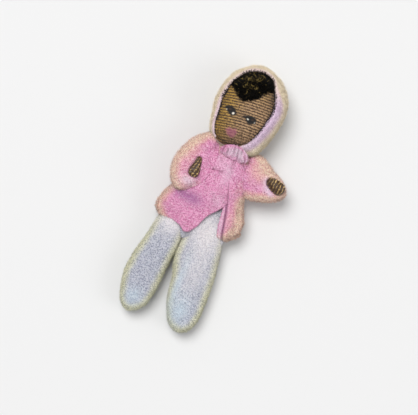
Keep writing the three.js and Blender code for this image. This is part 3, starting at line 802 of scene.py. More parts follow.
@dataclass(frozen=True)
class Pile:
    """How a plush's fibres stand. Real fibres are thinner than a pixel, so these are coarser and fewer."""

    length: float = 0.6
    width: float = 0.07
    per_square_mm: float = 13.0
    lean: float = 0.7
    tuft: float = 0.6
    tuft_pull: float = 0.12
    lift: float = 2.4
    seed: int = 1

    def grown(self, cloth: Surface, keep: np.ndarray | None = None) -> Surface:
        """Grow the fibres on a cloth.

        Args:
            cloth: The cloth, with its values.
            keep: For each point of the cloth, the share of fibres that grow there, or None for all.

        Returns:
            The fibres, each a thin blade of two faces.
        """
        chance = np.random.default_rng(self.seed)
        triangles = cloth.corners()
        a, b, c = (cloth.points[triangles[:, k]] for k in range(3))
        area = np.linalg.norm(np.cross(b - a, c - a), axis=1) / 2
        area *= ramp(cloth.points[triangles, 2].mean(1), 0.4, 1.2)
        if keep is not None:
            area *= keep[triangles].mean(1)
        count = int(area.sum() * self.per_square_mm)
        picked = triangles[chance.choice(len(area), count, p=area / area.sum())]
        u, v = chance.random((2, count))
        u, v = np.where(u + v > 1, 1 - u, u), np.where(u + v > 1, 1 - v, v)
        weights = np.stack([1 - u - v, u, v], axis=1)
        root, normal = (blended(rows, picked, weights) for rows in (cloth.points, cloth.normals()))
        normal = unit(normal)
        nap = np.stack([value_noise(root, 2.2, self.seed + 7 * k) for k in range(3)], axis=1)
        loose = chance.normal(size=(count, 3)) * 0.45
        way = unit(normal + self.lean * nap + loose * self.lean)
        at_rim = blended(cloth.values["rim"], picked, weights)
        length = (self.length * (1 + 0.4 * at_rim) * chance.uniform(0.65, 1.15, count))[:, None]
        cell = np.floor(root / self.tuft)
        centre = (cell + 0.5 + 0.3 * np.sin(cell * 12.9898 + cell[:, [1, 2, 0]] * 78.233)) * self.tuft
        pull = centre - root
        pull -= (pull * normal).sum(1)[:, None] * normal
        middle = root + way * length * 0.5 + pull * self.tuft_pull * 0.4
        tip = root + unit(way + 0.35 * nap) * length + pull * self.tuft_pull
        toward_light = scattered(unit(normal * 0.65 + way * 0.35), self.lift)
        side = unit(np.cross(way, chance.normal(size=(count, 3)))) * self.width / 2
        # A face seen from behind has its shading turned round, so a blade's outer side is its front
        side *= np.sign((np.cross(side, way) * toward_light).sum(1))[:, None]
        rows = np.stack([root - side, root + side, middle + side * 0.85, middle - side * 0.85, tip], axis=1)
        # The doll's weight presses the pile beside its underside flat on the floor
        rows[..., 2] = np.maximum(rows[..., 2], 0.0)
        values = {
            name: np.repeat(blended(numbers, picked, weights), BLADE_POINTS)
            for name, numbers in cloth.values.items()
        }
        values["tip"] = np.tile([0.35, 0.35, 0.8, 0.8, 1.0], count)
        values["strand"] = np.repeat(chance.normal(1.0, 0.1, count), BLADE_POINTS)
        first = np.arange(count)[:, None] * BLADE_POINTS
        faces = [first + [0, 1, 2, 3], first + [3, 2, 4]]
        return Surface(rows.reshape(-1, 3), faces, values, np.repeat(toward_light, BLADE_POINTS, axis=0))


def rim_share(points: Points, outline: Points, depth: float, inner: float, outer: float) -> np.ndarray:
    """Find how much of the rim's tint a place takes: all of it at the outline and less on the side below."""
    away = np.maximum(depth_within(points, outline), 0)
    return (1 - ramp(away, outer, inner)) * (0.4 + 0.6 * ramp(points[:, 2], depth - 4, depth - 1))


def blotted(value: np.ndarray, points: Points, blots: list) -> np.ndarray:
    """Add soft oval tints to a value.

    Args:
        value: The value at each point.
        points: The points, of which only X and Y count.
        blots: Each tint's middle X and Y, its reach along X and Y, and how much it adds.

    Returns:
        The value with the tints, from 0 to 1.
    """
    for x, y, wide, high, amount in blots:
        away = ((points[:, 0] - x) / wide) ** 2 + ((points[:, 1] - y) / high) ** 2
        value = value + amount * np.exp(-away)
    return np.clip(value, 0, 1)


def tinted(cloth: Surface, tints: dict[str, list]) -> Surface:
    """Add soft oval tints to values of a cloth.

    Args:
        cloth: The cloth.
        tints: The tints of each value.

    Returns:
        The same cloth.
    """
    for name, blots in tints.items():
        value = cloth.values.get(name, np.zeros(len(cloth.points)))
        cloth.values[name] = blotted(value, cloth.points, blots)
    return cloth


def plush_values(cloth: Surface) -> Surface:
    """Give a plush cloth the values that its finish reads and that it doesn't have.

    Args:
        cloth: The cloth.

    Returns:
        The same cloth.
    """
    count = len(cloth.points)
    for name in ("rim", "shade", "lining"):
        cloth.values.setdefault(name, np.zeros(count))
    cloth.values.setdefault("tip", np.full(count, 0.9))
    cloth.values.setdefault("strand", np.ones(count))
    return cloth


@dataclass
class Garment:
    """A plush piece: its cloth and the pile on it, which may ride on one body."""

    name: str
    cloth: Surface
    finish: PlushPile
    slot: str
    pile: Pile
    # The solids that the cloth stands in for, and how full of wadding it is
    nodes: tuple[str, ...]
    fill: float | None = None
    keep: np.ndarray | None = None

    def make(self) -> list[bpy.types.Object]:
        """Make the cloth and the pile.

        Returns:
            The cloth's object and the pile's object.
        """
        plush_values(self.cloth)
        self.cloth.shading = scattered(self.cloth.normals(), self.pile.lift)
        cloth = self.cloth.mesh_object(self.name, self.finish)
        fibres = self.pile.grown(self.cloth, self.keep).mesh_object(f"{self.name}_pile", self.finish)
        counts = [len(piece.data.polygons) for piece in (cloth, fibres)]
        LOG.info("%s: %d faces of cloth, %d of pile", self.name, *counts)
        return [cloth, fibres]

    def declared(self, pieces: list[bpy.types.Object]) -> list[bpy.types.Object]:
        """Hide the solids that the cloth stands in for.

        Args:
            pieces: The cloth's object and the pile's object.

        Returns:
            The same two objects.
        """
        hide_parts(*self.nodes)
        return pieces

    def riding(self, body: str) -> list[bpy.types.Object]:
        """Make the pieces and let them ride on one body."""
        return self.declared([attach(piece, body) for piece in self.make()])

    def bending(self, start: Points, end: Points) -> list[bpy.types.Object]:
        """Make the pieces and bake their places in; the bend's two ends are found but not used."""
        start, end = (tuple(np.array(point) * METRES_PER_MM) for point in (start, end))
        return self.declared([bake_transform(piece) for piece in self.make()])


def dressed(surface: Surface, name: str, finish: Finish, body: str, node: str) -> bpy.types.Object:
    """Make a piece without pile that rides on one body.

    Args:
        surface: The piece's mesh.
        name: The piece's name.
        finish: What it is made of.
        body: The body that it rides on.
        node: The solid that it stands in for.

    Returns:
        The piece.
    """
    piece = surface.mesh_object(name, finish)
    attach(piece, body)
    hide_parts(node)
    return piece


# Trousers


@dataclass
class Trousers:
    """Two stuffed plush legs and a seat. Each leg is made in two pieces that meet at mid thigh."""

    hip_height: float = -21.5
    middle_depth: float = 5.3
    half_depth: float = 5.7
    floor: float = 0.25
    inset: float = 0.55
    columns: int = 96
    row_step: float = 0.36
    mid_thigh: float = -29.6
    knee_height: float = -37.0
    fullness: float = 0.9
    seat_middle_depth: float = 6.3
    seat_floor: float = 0.9
    seat_fullness: float = 0.85
    pile_length: float = 0.5
    # The numbers that pick each leg's lumps and pile
    seeds: dict = field(default_factory=lambda: {"left": 3, "right": 5})
    # Height, and the two sides of each leg there
    outlines: dict = field(default_factory=lambda: {
        "left": [
            (-6.0, 5.0, 6.8), (-7.0, 3.6, 9.0), (-9.0, 2.4, 10.4), (-12.0, 0.8, 11.2),
            (-15.6, -1.6, 11.5), (-19.0, -3.2, 12.0), (-23.0, -3.4, 13.0), (-28.0, -3.3, 13.8),
            (-31.0, -2.6, 14.2), (-35.0, -1.0, 14.5), (-41.0, 0.0, 14.9), (-45.0, 1.0, 15.0),
            (-48.3, 2.3, 14.5), (-50.0, 3.3, 14.1), (-51.5, 4.4, 13.2), (-52.6, 5.7, 12.2),
            (-53.3, 7.3, 10.9), (-53.6, 8.7, 9.6),
        ],
        "right": [
            (-7.0, -9.0, -6.8), (-8.0, -10.5, -6.0), (-10.0, -11.8, -5.2), (-13.0, -13.0, -4.2),
            (-16.0, -13.8, -3.0), (-19.0, -14.6, -2.6), (-23.0, -15.3, -2.6), (-28.3, -16.2, -2.7),
            (-31.0, -16.8, -3.0), (-34.3, -17.3, -3.1), (-40.3, -17.7, -3.3), (-44.3, -17.0, -3.6),
            (-47.0, -16.4, -4.0), (-49.2, -15.7, -4.7), (-50.9, -14.9, -5.8), (-52.1, -13.9, -7.1),
            (-53.0, -12.7, -8.6), (-53.5, -11.6, -10.0),
        ],
    })
    # Painted pale blue highlights on the feet and down the left leg, laid in through the shade value
    foot_tints: dict = field(default_factory=lambda: {
        "left": [(6.5, -46.0, 3.5, 6.0, 0.8), (2.5, -36.0, 1.4, 10.0, 0.8)],
        "right": [(-10.5, -48.0, 3.0, 3.5, 0.7)],
    })
    # Painted highlights on the tops of the thighs and on the left leg, laid in through the lining value
    thigh_tints: dict = field(default_factory=lambda: {
        "left": [(5.0, -16.0, 8.0, 9.0, 1.0), (6.5, -32.0, 5.0, 9.0, 0.5)],
        "right": [(-8.0, -17.0, 7.0, 6.0, 1.0)],
    })
    # Share of the leg's length below the hip, share of its depth
    depth_shares: tuple = (
        (-0.48, 0.45), (-0.42, 0.75), (-0.34, 0.9), (-0.2, 0.98), (0.0, 1.0), (0.12, 1.0), (0.27, 1.0),
        (0.42, 0.98), (0.6, 0.96), (0.73, 0.92), (0.84, 0.83), (0.93, 0.62), (0.98, 0.34), (1.0, 0.12),
    )
    # Height, the seat's two sides there, and half of its depth
    seat_table: tuple = (
        (1.0, -6.5, 8.0, 3.6), (-3.0, -8.6, 9.0, 3.9), (-8.0, -11.5, 10.4, 4.1),
        (-13.0, -13.0, 11.2, 4.2), (-16.5, -13.4, 11.6, 4.1), (-18.0, -13.2, 11.6, 3.9),
        (-19.3, -13.0, 11.4, 3.4), (-20.6, -12.4, 11.0, 2.5), (-21.6, -11.6, 10.4, 1.2),
    )

    def leg_rings(self, side: str) -> Points:
        """Place the rings of one leg, from its top under the coat to the foot's end.

        Args:
            side: Which of the doll's legs.

        Returns:
            Rows of rings.
        """
        table = np.array(self.outlines[side])
        top, bottom = table[0, 0], table[-1, 0]
        rows = int((top - bottom) / self.row_step)
        turn = np.linspace(-1, 1, rows)
        height = top + (bottom - top) * (0.5 + 0.5 * np.sin(turn * np.pi / 2) * (0.55 + 0.45 * np.abs(turn)))
        low = softened(np.interp(-height, -table[:, 0], table[:, 1]), 2.5) + self.inset
        high = softened(np.interp(-height, -table[:, 0], table[:, 2]), 2.5) - self.inset
        leg = bottom - self.hip_height
        shares = np.array(self.depth_shares)
        depth = np.interp((height - self.hip_height) / leg, shares[:, 0], shares[:, 1]) * self.half_depth
        depth = softened(depth, 2.5) - self.inset
        angle = full_turn(self.columns)
        across, over = (squared_off(wave, self.fullness) for wave in (np.cos(angle), np.sin(angle)))
        x = (low + high)[:, None] / 2 + np.maximum(high - low, 0.2)[:, None] / 2 * across
        z = self.middle_depth + depth[:, None] * over
        y = np.broadcast_to(height[:, None], x.shape)
        return np.stack([x, y, np.maximum(z, self.floor)], axis=-1)

    def lumped(self, cloth: Surface, seed: int) -> Surface:
        """Press the stuffing's lumps and the sewn side into a leg.

        Args:
            cloth: The leg.
            seed: A number that picks the lumps.

        Returns:
            The same leg.
        """
        lumps = 0.2 * value_noise(cloth.points, 6.0, seed) + 0.04 * value_noise(cloth.points, 1.6, seed + 1)
        normals = cloth.normals()
        lumps *= ramp(cloth.points[:, 2], 0.4, 2.5)
        cloth.points = cloth.points + normals * lumps[:, None]
        return cloth

    def leg(self, side: str) -> None:
        """Make one leg in two pieces that meet at mid thigh.

        Args:
            side: Which of the doll's legs.
        """
        rings = self.leg_rings(side)
        rows, columns = rings.shape[:2]
        split = int(np.argmin(np.abs(rings[:, 0, 1] - self.mid_thigh)))
        seed = self.seeds[side]
        whole = self.lumped(tube(rings), seed)
        table = np.array(self.outlines[side])
        edge = np.concatenate([table[:, [1, 0]], table[::-1, [2, 0]]])
        tint = rim_share(whole.points, edge, self.middle_depth, inner=4.0, outer=0.6)[: rows * columns]
        grid, rim = whole.points[: rows * columns].reshape(rows, columns, 3), tint.reshape(rows, columns)
        hip = np.array([rings[split, :, 0].mean(), self.hip_height, self.middle_depth])
        knee = np.array([hip[0], self.knee_height, self.middle_depth])
        # Each half's rows, closed ends, body above, name of its own body, joint and reach of its bend
        halves = {
            "upper": (slice(None, split + 1), (True, False), "hip_eye", "thigh", hip, (5.0, -6.0)),
            "lower": (slice(split, None), (False, True), "thigh", "shank", knee, (5.0, -5.0)),
        }
        for part, (kept, tips, above, own, joint, reach) in halves.items():
            cloth = tube(grid[kept], *tips)
            extra = len(cloth.points) - rim[kept].size
            cloth.values["rim"] = np.concatenate([rim[kept].ravel(), np.ones(extra)])
            # The shade and lining values carry painted highlights here
            tinted(cloth, {"shade": self.foot_tints[side], "lining": self.thigh_tints[side]})
            pile = Pile(length=self.pile_length, seed=seed)
            nodes = (f"{own}_cover_{side}", f"{own}_padding_{side}")
            name = f"trouser_leg_{part}_{side}"
            garment = Garment(name, cloth, TROUSER_PLUSH, "white_plush", pile, nodes, fill=0.8)
            start, end = (joint + [0, along, 0] for along in reach)
            garment.bending(start, end)

    def seat(self) -> None:
        """Make the seat that shows where the coat's front is open."""
        table = np.array(self.seat_table)
        height = np.linspace(table[0, 0], table[-1, 0], 50)
        low, high, depth = (softened(np.interp(-height, -table[:, 0], table[:, k]), 3) for k in (1, 2, 3))
        angle = full_turn(80)
        x = (low + high)[:, None] / 2 + (high - low)[:, None] / 2 * np.cos(angle)
        z = self.seat_middle_depth + depth[:, None] * squared_off(np.sin(angle), self.seat_fullness)
        y = np.broadcast_to(height[:, None], x.shape)
        rings = np.stack([x, y, np.maximum(z, self.seat_floor)], axis=-1)
        # The seat takes the left thigh's painted highlights
        cloth = tinted(tube(rings, True, False), {"lining": self.thigh_tints["left"]})
        pile = Pile(length=self.pile_length, seed=9)
        nodes = ("seat_cover", "seat_padding")
        Garment("trouser_seat", cloth, TROUSER_PLUSH, "white_plush", pile, nodes, fill=0.6).riding("torso")

    def build(self) -> None:
        """Make the seat and both legs."""
        self.seat()
        for side in SIDES:
            self.leg(side)


# Coat


@dataclass
class Coat:
    """The plush coat: a back, a right front with a pointed tail and a left front with a thick fold."""

    middle_depth: float = 7.2
    half_depth: float = 7.7
    cloth: float = 1.0
    inset: float = 0.5
    floor: float = 0.3
    fullness: float = 0.9
    # Height, the coat's two sides there, share of its depth in front
    outline: tuple = (
        (14.6, -7.4, 7.6, 0.62), (13.6, -9.2, 9.6, 0.78), (11.5, -10.6, 11.2, 0.9),
        (8.0, -10.2, 11.9, 0.98), (2.0, -10.4, 12.0, 1.0), (-1.7, -11.6, 12.6, 0.97),
        (-5.3, -14.3, 14.2, 0.93), (-8.3, -15.9, 15.8, 0.89), (-12.3, -17.0, 15.6, 0.84),
        (-14.7, -16.8, 13.6, 0.81), (-17.0, -14.9, 11.0, 0.79), (-19.5, -12.0, 9.0, 0.79),
    )
    slit: tuple = ((3.2, 15.2), (4.0, 3.7), (5.3, 0.0), (6.7, -4.0))
    right_hem: tuple = (
        (-16.4, -15.0), (-14.6, -16.9), (-12.0, -16.9), (-8.7, -16.6), (-5.5, -17.3), (-3.3, -18.8),
        (-2.0, -18.3), (0.0, -15.3), (1.0, -12.3), (2.0, -10.3), (3.3, -8.6), (5.0, -6.8), (6.7, -4.0),
    )
    # The fold's front edge, and the edge of its facing, which shows beside it lower down
    fold: tuple = (
        (3.4, 15.2), (4.0, 4.0), (5.4, 0.5), (6.8, -3.0), (8.2, -7.0), (9.0, -10.2), (9.8, -13.6),
        (10.8, -16.6),
    )
    facing: tuple = (
        (3.2, 15.2), (3.8, 4.0), (5.1, 0.5), (6.3, -3.0), (7.0, -7.0), (7.4, -10.2), (8.0, -13.6),
        (8.9, -16.4),
    )
    fold_height: float = 1.6
    facing_drop: float = 0.95
    hem_drop: float = 1.1
    seam_overlap: float = 0.07
    back_depth_share: float = 0.95
    top_height: float = 14.4
    left_hem_height: float = -12.6
    # How the columns of the fronts crowd towards the side seams, where the cloth turns down
    crowding: float = 0.62
    right_crowding: float = 0.001
    # The right sleeve's outline where it lies on the coat, and how deep it presses
    bed: tuple = (
        (-4.6, 14.0), (-3.2, 11.4), (-2.8, 7.8), (-3.0, 4.0), (-3.8, 0.4), (-5.8, -2.4), (-8.0, -4.4),
        (-11.0, -5.6), (-20.0, -5.6), (-20.0, 14.0),
    )
    bed_depth: float = 3.4
    # Soft tints: middle X and Y, reach along X and Y, amount
    tints: dict = field(default_factory=lambda: {
        "rim": [(12.5, -8.0, 3.5, 8.0, 0.55), (9.5, 3.0, 3.0, 6.0, 0.2)],
        "shade": [(-5.5, -7.2, 4.4, 2.4, 1.0), (-10.5, -6.8, 2.8, 2.0, 0.6)],
        # The lining tints at the slit are the coat's lining; the last one is a painted highlight on the chest
        "lining": [(3.0, 5.5, 1.8, 4.0, 0.5), (3.6, -4.5, 2.6, 2.6, 0.4), (-0.5, 9.0, 3.5, 4.0, 0.35)],
    })
    # Each crease: where it runs, its width and its depth
    creases: tuple = (
        ([(-4.6, 5.6), (-2.2, 5.2)], 0.4, 1.0), ([(-1.6, 5.4), (0.6, 5.6)], 0.35, 0.8),
        ([(-3.6, 4.2), (-1.2, 4.7)], 0.3, 0.6), ([(-3.0, 11.5), (-4.6, 7.8)], 0.7, 0.5),
        ([(2.6, 11.6), (3.3, 8.4)], 0.5, 0.5), ([(5.0, 11.5), (8.4, 9.6)], 0.5, 0.5),
        ([(-0.2, 11.8), (-1.2, 9.2)], 0.5, 0.35),
    )

    def at_heights(self, heights: np.ndarray, *columns: int) -> list[np.ndarray]:
        """Read the outline's table."""
        table = np.array(self.outline)[::-1]
        return [np.interp(heights, table[:, 0], table[:, column]) for column in columns]

    def front_height(self, points: Points) -> np.ndarray:
        """Find the height of the coat's front over the floor.

        Args:
            points: Places, seen from above.

        Returns:
            The height at each place, and the middle depth outside the coat's sides.
        """
        low, high, depth = self.at_heights(points[..., 1], 1, 2, 3)
        across = np.abs(points[..., 0] - (low + high) / 2) / ((high - low) / 2 - self.inset)
        rise = np.clip(1 - across ** (2 / self.fullness), 0, 1) ** (self.fullness / 2)
        return self.middle_depth + (depth * self.half_depth - self.inset) * rise

    def hollow(self, points: Points) -> np.ndarray:
        """Find how deep the right sleeve presses the coat's front.

        Args:
            points: Places, seen from above.

        Returns:
            The depth at each place, none near the shoulder.
        """
        rows = points[..., :2].reshape(-1, 2)
        inside = inside_outline(rows, np.array(self.bed)) * distance_to_line(rows, np.array(self.bed[:8]))
        depth = self.bed_depth * ramp(inside, 0.2, 3.0) * (1 - ramp(rows[:, 1], 6.0, 11.0))
        return depth.reshape(points.shape[:-1])

    def creased(self, grid: Points) -> Points:
        """Press the creases and the cloth's slight waves into a front.

        Args:
            grid: The front's points.

        Returns:
            The pressed points.
        """
        flat = grid.reshape(-1, 3).copy()
        level = flat * [1, 1, 0]
        wave = 0.25 * value_noise(level, cell=5.5, seed=21) + 0.08 * value_noise(level, cell=1.8, seed=22)
        for line, width, depth in self.creases:
            away = distance_to_line(flat, np.array(line))
            groove, bank = (np.exp(-(((away - start) / width) ** 2)) for start in (0, 2 * width))
            wave -= depth * groove - 0.4 * depth * bank
        flat[:, 2] += wave * ramp(flat[:, 2], self.middle_depth + 0.5, self.middle_depth + 4)
        return flat.reshape(grid.shape)

    def side_line(self, column: int, heights: np.ndarray) -> Points:
        """Draw one of the coat's side lines, inset for the pile."""
        sign = 1 if column == 1 else -1
        return np.stack([self.at_heights(heights, column)[0] + sign * self.inset, heights], axis=1)

    def right_front(self) -> Surface:
        """Make the right front, from the side seam to the slit and the pointed tail.

        Returns:
            The cloth.
        """
        hem = np.array(self.right_hem)
        side = self.side_line(1, np.linspace(self.top_height, hem[0, 1] + 0.3, 60))
        top = np.array([side[0], (-4.0, 15.0), self.slit[0]])
        quarter = np.linspace(0, 1, 90) * np.pi / 2
        across = np.sin(quarter) ** self.right_crowding * (1 - np.cos(quarter)) ** self.crowding
        bottom = np.concatenate([side[-1:], hem[1:]])
        flat = patch(side, np.array(self.slit), top, bottom, across, np.linspace(0, 1, 100))
        grid = raised(flat, self.front_height(flat))
        near_hem = 1 - ramp(distance_to_line(flat.reshape(-1, 2), hem), 0.0, 5.0).reshape(flat.shape[:2])
        high = ramp(grid[..., 2], self.middle_depth, self.middle_depth + 3)
        grid[..., 2] -= self.hem_drop * near_hem * high
        grid[..., 2] -= np.minimum(self.hollow(flat), np.maximum(grid[..., 2] - self.middle_depth, 0))
        return thickened(self.creased(grid), self.cloth)

    def left_front(self) -> Surface:
        """Make the left front, a thick rounded fold that lies over the slit, with its facing beside it.

        Returns:
            The cloth.
        """
        edge, fold = np.array(self.facing), np.array(self.fold)
        side = self.side_line(2, np.linspace(self.top_height, self.left_hem_height, 60))
        top = np.array([edge[0], (6.5, 15.2), side[0]])
        bottom = np.array([edge[-1], fold[-1], (12.4, -15.9), (13.9, -14.6), (14.8, -13.5), side[-1]])
        across = 1 - (1 - np.cos(np.linspace(1, 0, 80) * np.pi / 2)) ** self.crowding
        flat = patch(edge, side, top, bottom, across, np.linspace(0, 1, 110))
        grid = raised(flat, self.front_height(flat))
        rows = flat.reshape(-1, 2)
        away = distance_to_line(rows, fold)
        beyond = np.interp(-rows[:, 1], -fold[:, 1], fold[:, 0]) < rows[:, 0]
        away = np.where(beyond, away, -away).reshape(flat.shape[:2])
        below = 0.3 + 0.7 * ramp(-flat[..., 1], -4.0, 4.0)
        grid[..., 2] += below * (self.fold_height * ramp(away, -0.2, 0.35) - self.facing_drop)
        grid[..., 2] -= (0.7 * ramp(away, 1.5, 4.5) + 1.1 * np.exp(-(((away + 0.35) / 0.3) ** 2))) * below
        cloth = thickened(self.creased(grid), self.cloth)
        # Painted shade in the groove beside the fold's edge, on the facing, lower down
        fold_line_shade = np.exp(-((np.minimum(away + 0.3, 0) / 0.6) ** 2)) * (1 - ramp(away, -0.3, 0.1))
        facing = (fold_line_shade * ramp(-flat[..., 1], -5.0, -2.0)).ravel()
        extra = np.zeros(len(cloth.points) - 2 * len(facing))
        cloth.values["shade"] = 0.9 * np.concatenate([facing, facing, extra])
        inner = ((1 - ramp(away, -1.2, -0.5)) * ramp(-flat[..., 1], 2.0, 6.0)).ravel()
        cloth.values["lining"] = 0.6 * np.concatenate([inner, inner, extra])
        return cloth

    def back(self) -> Surface:
        """Make the back, which lies flat on the floor and turns up to the side seams.

        Returns:
            The cloth.
        """
        angle = np.pi + np.linspace(-self.seam_overlap, 1 + self.seam_overlap, 90) * np.pi
        bottom = -15.0 + 1.2 * np.cos(angle)
        heights = self.top_height + (bottom - self.top_height) * np.linspace(0, 1, 80)[:, None]
        low, high = self.at_heights(heights, 1, 2)
        x = (low + high) / 2 + ((high - low) / 2 - self.inset) * np.cos(angle)
        fall = squared_off(np.sin(angle), self.fullness)
        z = self.middle_depth + (self.back_depth_share * self.half_depth - self.inset) * fall
        grid = np.stack([x, heights, np.maximum(np.broadcast_to(z, x.shape), self.floor)], axis=-1)
        shape = thickened(grid, -self.cloth)
        return shape.turned_over() if shape.normals()[: x.size, 2].mean() > 0 else shape

    def build(self) -> None:
        """Make the three parts of the coat."""
        # Each part's cloth, solids and flat size in metres
        parts = {
            "coat_right_front": (self.right_front(), ("jacket_front_right",), (0.024, 0.034)),
            "coat_left_front": (self.left_front(), ("jacket_front_left",), (0.014, 0.034)),
            "coat_back": (self.back(), ("jacket_back", "torso_padding", "neck_padding"), (0.036, 0.029)),
        }
        table = np.array(self.outline)
        hem = np.array([(14.5, -15.2), (10.8, -17.4), (0.0, -24.0), (-12.0, -19.5), *self.right_hem[1::-1]])
        edge = np.concatenate([table[:10, [2, 0]], hem, table[9::-1, [1, 0]]])
        under_sleeve = edge[:, 1] > np.where(edge[:, 0] > 0, 0.5, -4.0)
        edge[:, 0] *= np.where(under_sleeve, 2, 1)
        for name, (cloth, nodes, flat) in parts.items():
            cloth.values["rim"] = rim_share(cloth.points, edge, self.middle_depth - 3, inner=4.4, outer=0.4)
            tinted(cloth, self.tints)
            pieces = Garment(name, cloth, COAT_PLUSH, "pink_plush", Pile(seed=11), nodes).riding("torso")


# Sleeves and hands


@dataclass
class Arm:
    """A stuffed sleeve with an opening near its end, and the wound hand that lies in it."""

    side: str
    joint: tuple[float, float, float]
    turn: float
    pitch: float
    wrist: tuple[float, float, float]
    hand_turn: float
    hand_length: float
    hand_half_width: float
    # Each station of the sleeve: its middle, and half of its width across the arm, seen from above
    outline: list
    # The sleeve's free edge, closed far inside the coat
    rim_outline: list
    # Soft tints of the sleeve, as on the coat
    tints: dict
    # Wrist to finger ends: length share, half width share, half depth share
    hand_shares: list
    # How far the thread's turns across the hand and its strands along it stand out
    turn_relief: float
    strand_relief: float
    tip_rise: float
    lies_on_coat: bool
    # The number that picks the pile
    seed: int
    hand_half_depth: float = 1.2
    half_depth: float = 4.7
    inset: float = 0.5
    columns: int = 120
    rows: int = 110
    room: float = 0.1
    hand_gap: float = 0.35
    coat_gap: float = 0.15
    blend: float = 1.2
    thread_pitch: float = 1.15
    strand_pitch: float = 5.0
    fullness: float = 0.92
    # How far along the arm the bend begins and ends, from the joint
    bend: tuple[float, float] = (-5.0, 2.6)
    # Share of the sleeve's length, share of its depth
    depth_shares: tuple = (
        (0.0, 0.12), (0.06, 0.6), (0.18, 0.92), (0.35, 1.0), (0.6, 1.0), (0.78, 0.95), (0.9, 0.78),
        (0.97, 0.45), (1.0, 0.12),
    )
    # How the thread's turns wander along the hand, millimetre by millimetre
    drifts: tuple = (0.0, 0.5, 0.1, 0.9, 0.4, 1.1, 0.5, 1.3, 0.9)

    def placed(self, points: Points) -> Points:
        """Move points from the arm's own frame to the doll's.

        Args:
            points: Points in the arm's frame.

        Returns:
            The points in the doll's frame.
        """
        tilt, turn = math.radians(self.pitch), math.radians(self.turn)
        x, y, z = points[..., 0], points[..., 1], points[..., 2]
        y, z = y * math.cos(tilt) - z * math.sin(tilt), y * math.sin(tilt) + z * math.cos(tilt)
        x, y = x * math.cos(turn) - y * math.sin(turn), x * math.sin(turn) + y * math.cos(turn)
        return np.stack([x, y, z], axis=-1) + self.joint

    def hand_frame(self, points: Points) -> Points:
        """Move points from the hand's own frame to the doll's.

        Args:
            points: Points in the hand's frame.

        Returns:
            The points in the doll's frame.
        """
        turn = math.radians(self.hand_turn)
        x = points[..., 0] * math.cos(turn) - points[..., 1] * math.sin(turn)
        y = points[..., 0] * math.sin(turn) + points[..., 1] * math.cos(turn)
        return self.placed(np.stack([x, y, points[..., 2]], axis=-1) + self.wrist)

    def hand_outline(self, room: float) -> Points:
        """Draw the hand's outline with room round it, seen from above.

        Args:
            room: How far outside the hand the outline runs.

        Returns:
            The outline's corners.
        """
        shares = np.array(self.hand_shares)
        reach = shares[:, 0] * (self.hand_length + 2 * room) - room
        width = shares[:, 1] * self.hand_half_width + room
        sides = [np.stack([sign * width, reach, np.zeros(len(reach))], axis=1) for sign in (1, -1)]
        return self.hand_frame(np.concatenate([sides[0], sides[1][::-1]]))[:, :2]

    def sleeve(self, coat: Coat) -> tuple[Surface, np.ndarray]:
        """Make the sleeve.

        Args:
            coat: The coat that it may lie on.

        Returns:
            The sleeve's cloth, and where its pile grows.
        """
        table = np.array(self.outline)
        shares = 0.5 - 0.5 * np.cos(np.linspace(0.02, 0.98, self.rows) * np.pi)
        edges = [softened(along_line(table[:, k : k + 2], shares), 3) for k in (0, 2)]
        middle = (edges[0] + edges[1]) / 2
        reach = np.linalg.norm(edges[1] - edges[0], axis=1) / 2
        across = unit(edges[1] - edges[0])
        reach = np.maximum(reach - self.inset, 0.25)
        depth = softened(np.interp(shares, *np.array(self.depth_shares).T) * self.half_depth, 3)
        level = self.joint[2] + self.tip_rise * (shares - 0.3)
        angle = full_turn(self.columns)
        wide, high = (squared_off(wave, self.fullness) for wave in (np.cos(angle), np.sin(angle)))
        flat = middle[:, None] + across[:, None] * (reach[:, None] * wide)[..., None]
        if self.lies_on_coat:
            high = np.where(high > 0, high ** (1 + 0.9 * ramp(wide, 0.2, 1.0)), high)
        height = level[:, None] + np.maximum(depth - self.inset, 0.2)[:, None] * high
        if self.lies_on_coat:
            under = coat.front_height(flat)
            over_coat = under > coat.middle_depth + 0.2
            lowest = under + self.coat_gap + 0.1 * (high + 1) - coat.hollow(flat) * (high < 0)
            gap = np.clip(1 - np.abs(height - lowest) / self.blend, 0, 1)
            height = np.where(over_coat, np.maximum(height, lowest) + self.blend / 4 * gap**2, height)
        cloth = tube(raised(flat, height))
        normals = cloth.normals()
        large = value_noise(cloth.points, cell=4.5, seed=31)
        small = value_noise(cloth.points, cell=1.5, seed=32)
        lumps = 0.25 * large + 0.08 * small
        cloth.points += normals * (lumps * ramp(normals[:, 2], -0.3, 0.4))[:, None]
        within = depth_within(cloth.points, self.hand_outline(self.room))
        within = np.where(normals[:, 2] > 0, within, -np.abs(within))
        top = normals[:, 2] > 0.15
        under_hand = np.array([[0, self.hand_length / 2, -self.hand_half_depth - self.hand_gap]])
        bed = self.hand_frame(under_hand)[0, 2]
        sunk = ramp(within, -0.3, 0.3) * top
        cloth.points[:, 2] = cloth.points[:, 2] * (1 - sunk) + np.minimum(cloth.points[:, 2], bed) * sunk
        edge = np.array(self.rim_outline)
        cloth.values["rim"] = rim_share(cloth.points, edge, self.joint[2] - 2, inner=4.6, outer=0.4)
        return tinted(cloth, self.tints), 1 - ramp(within, -0.1, 0.15) * top

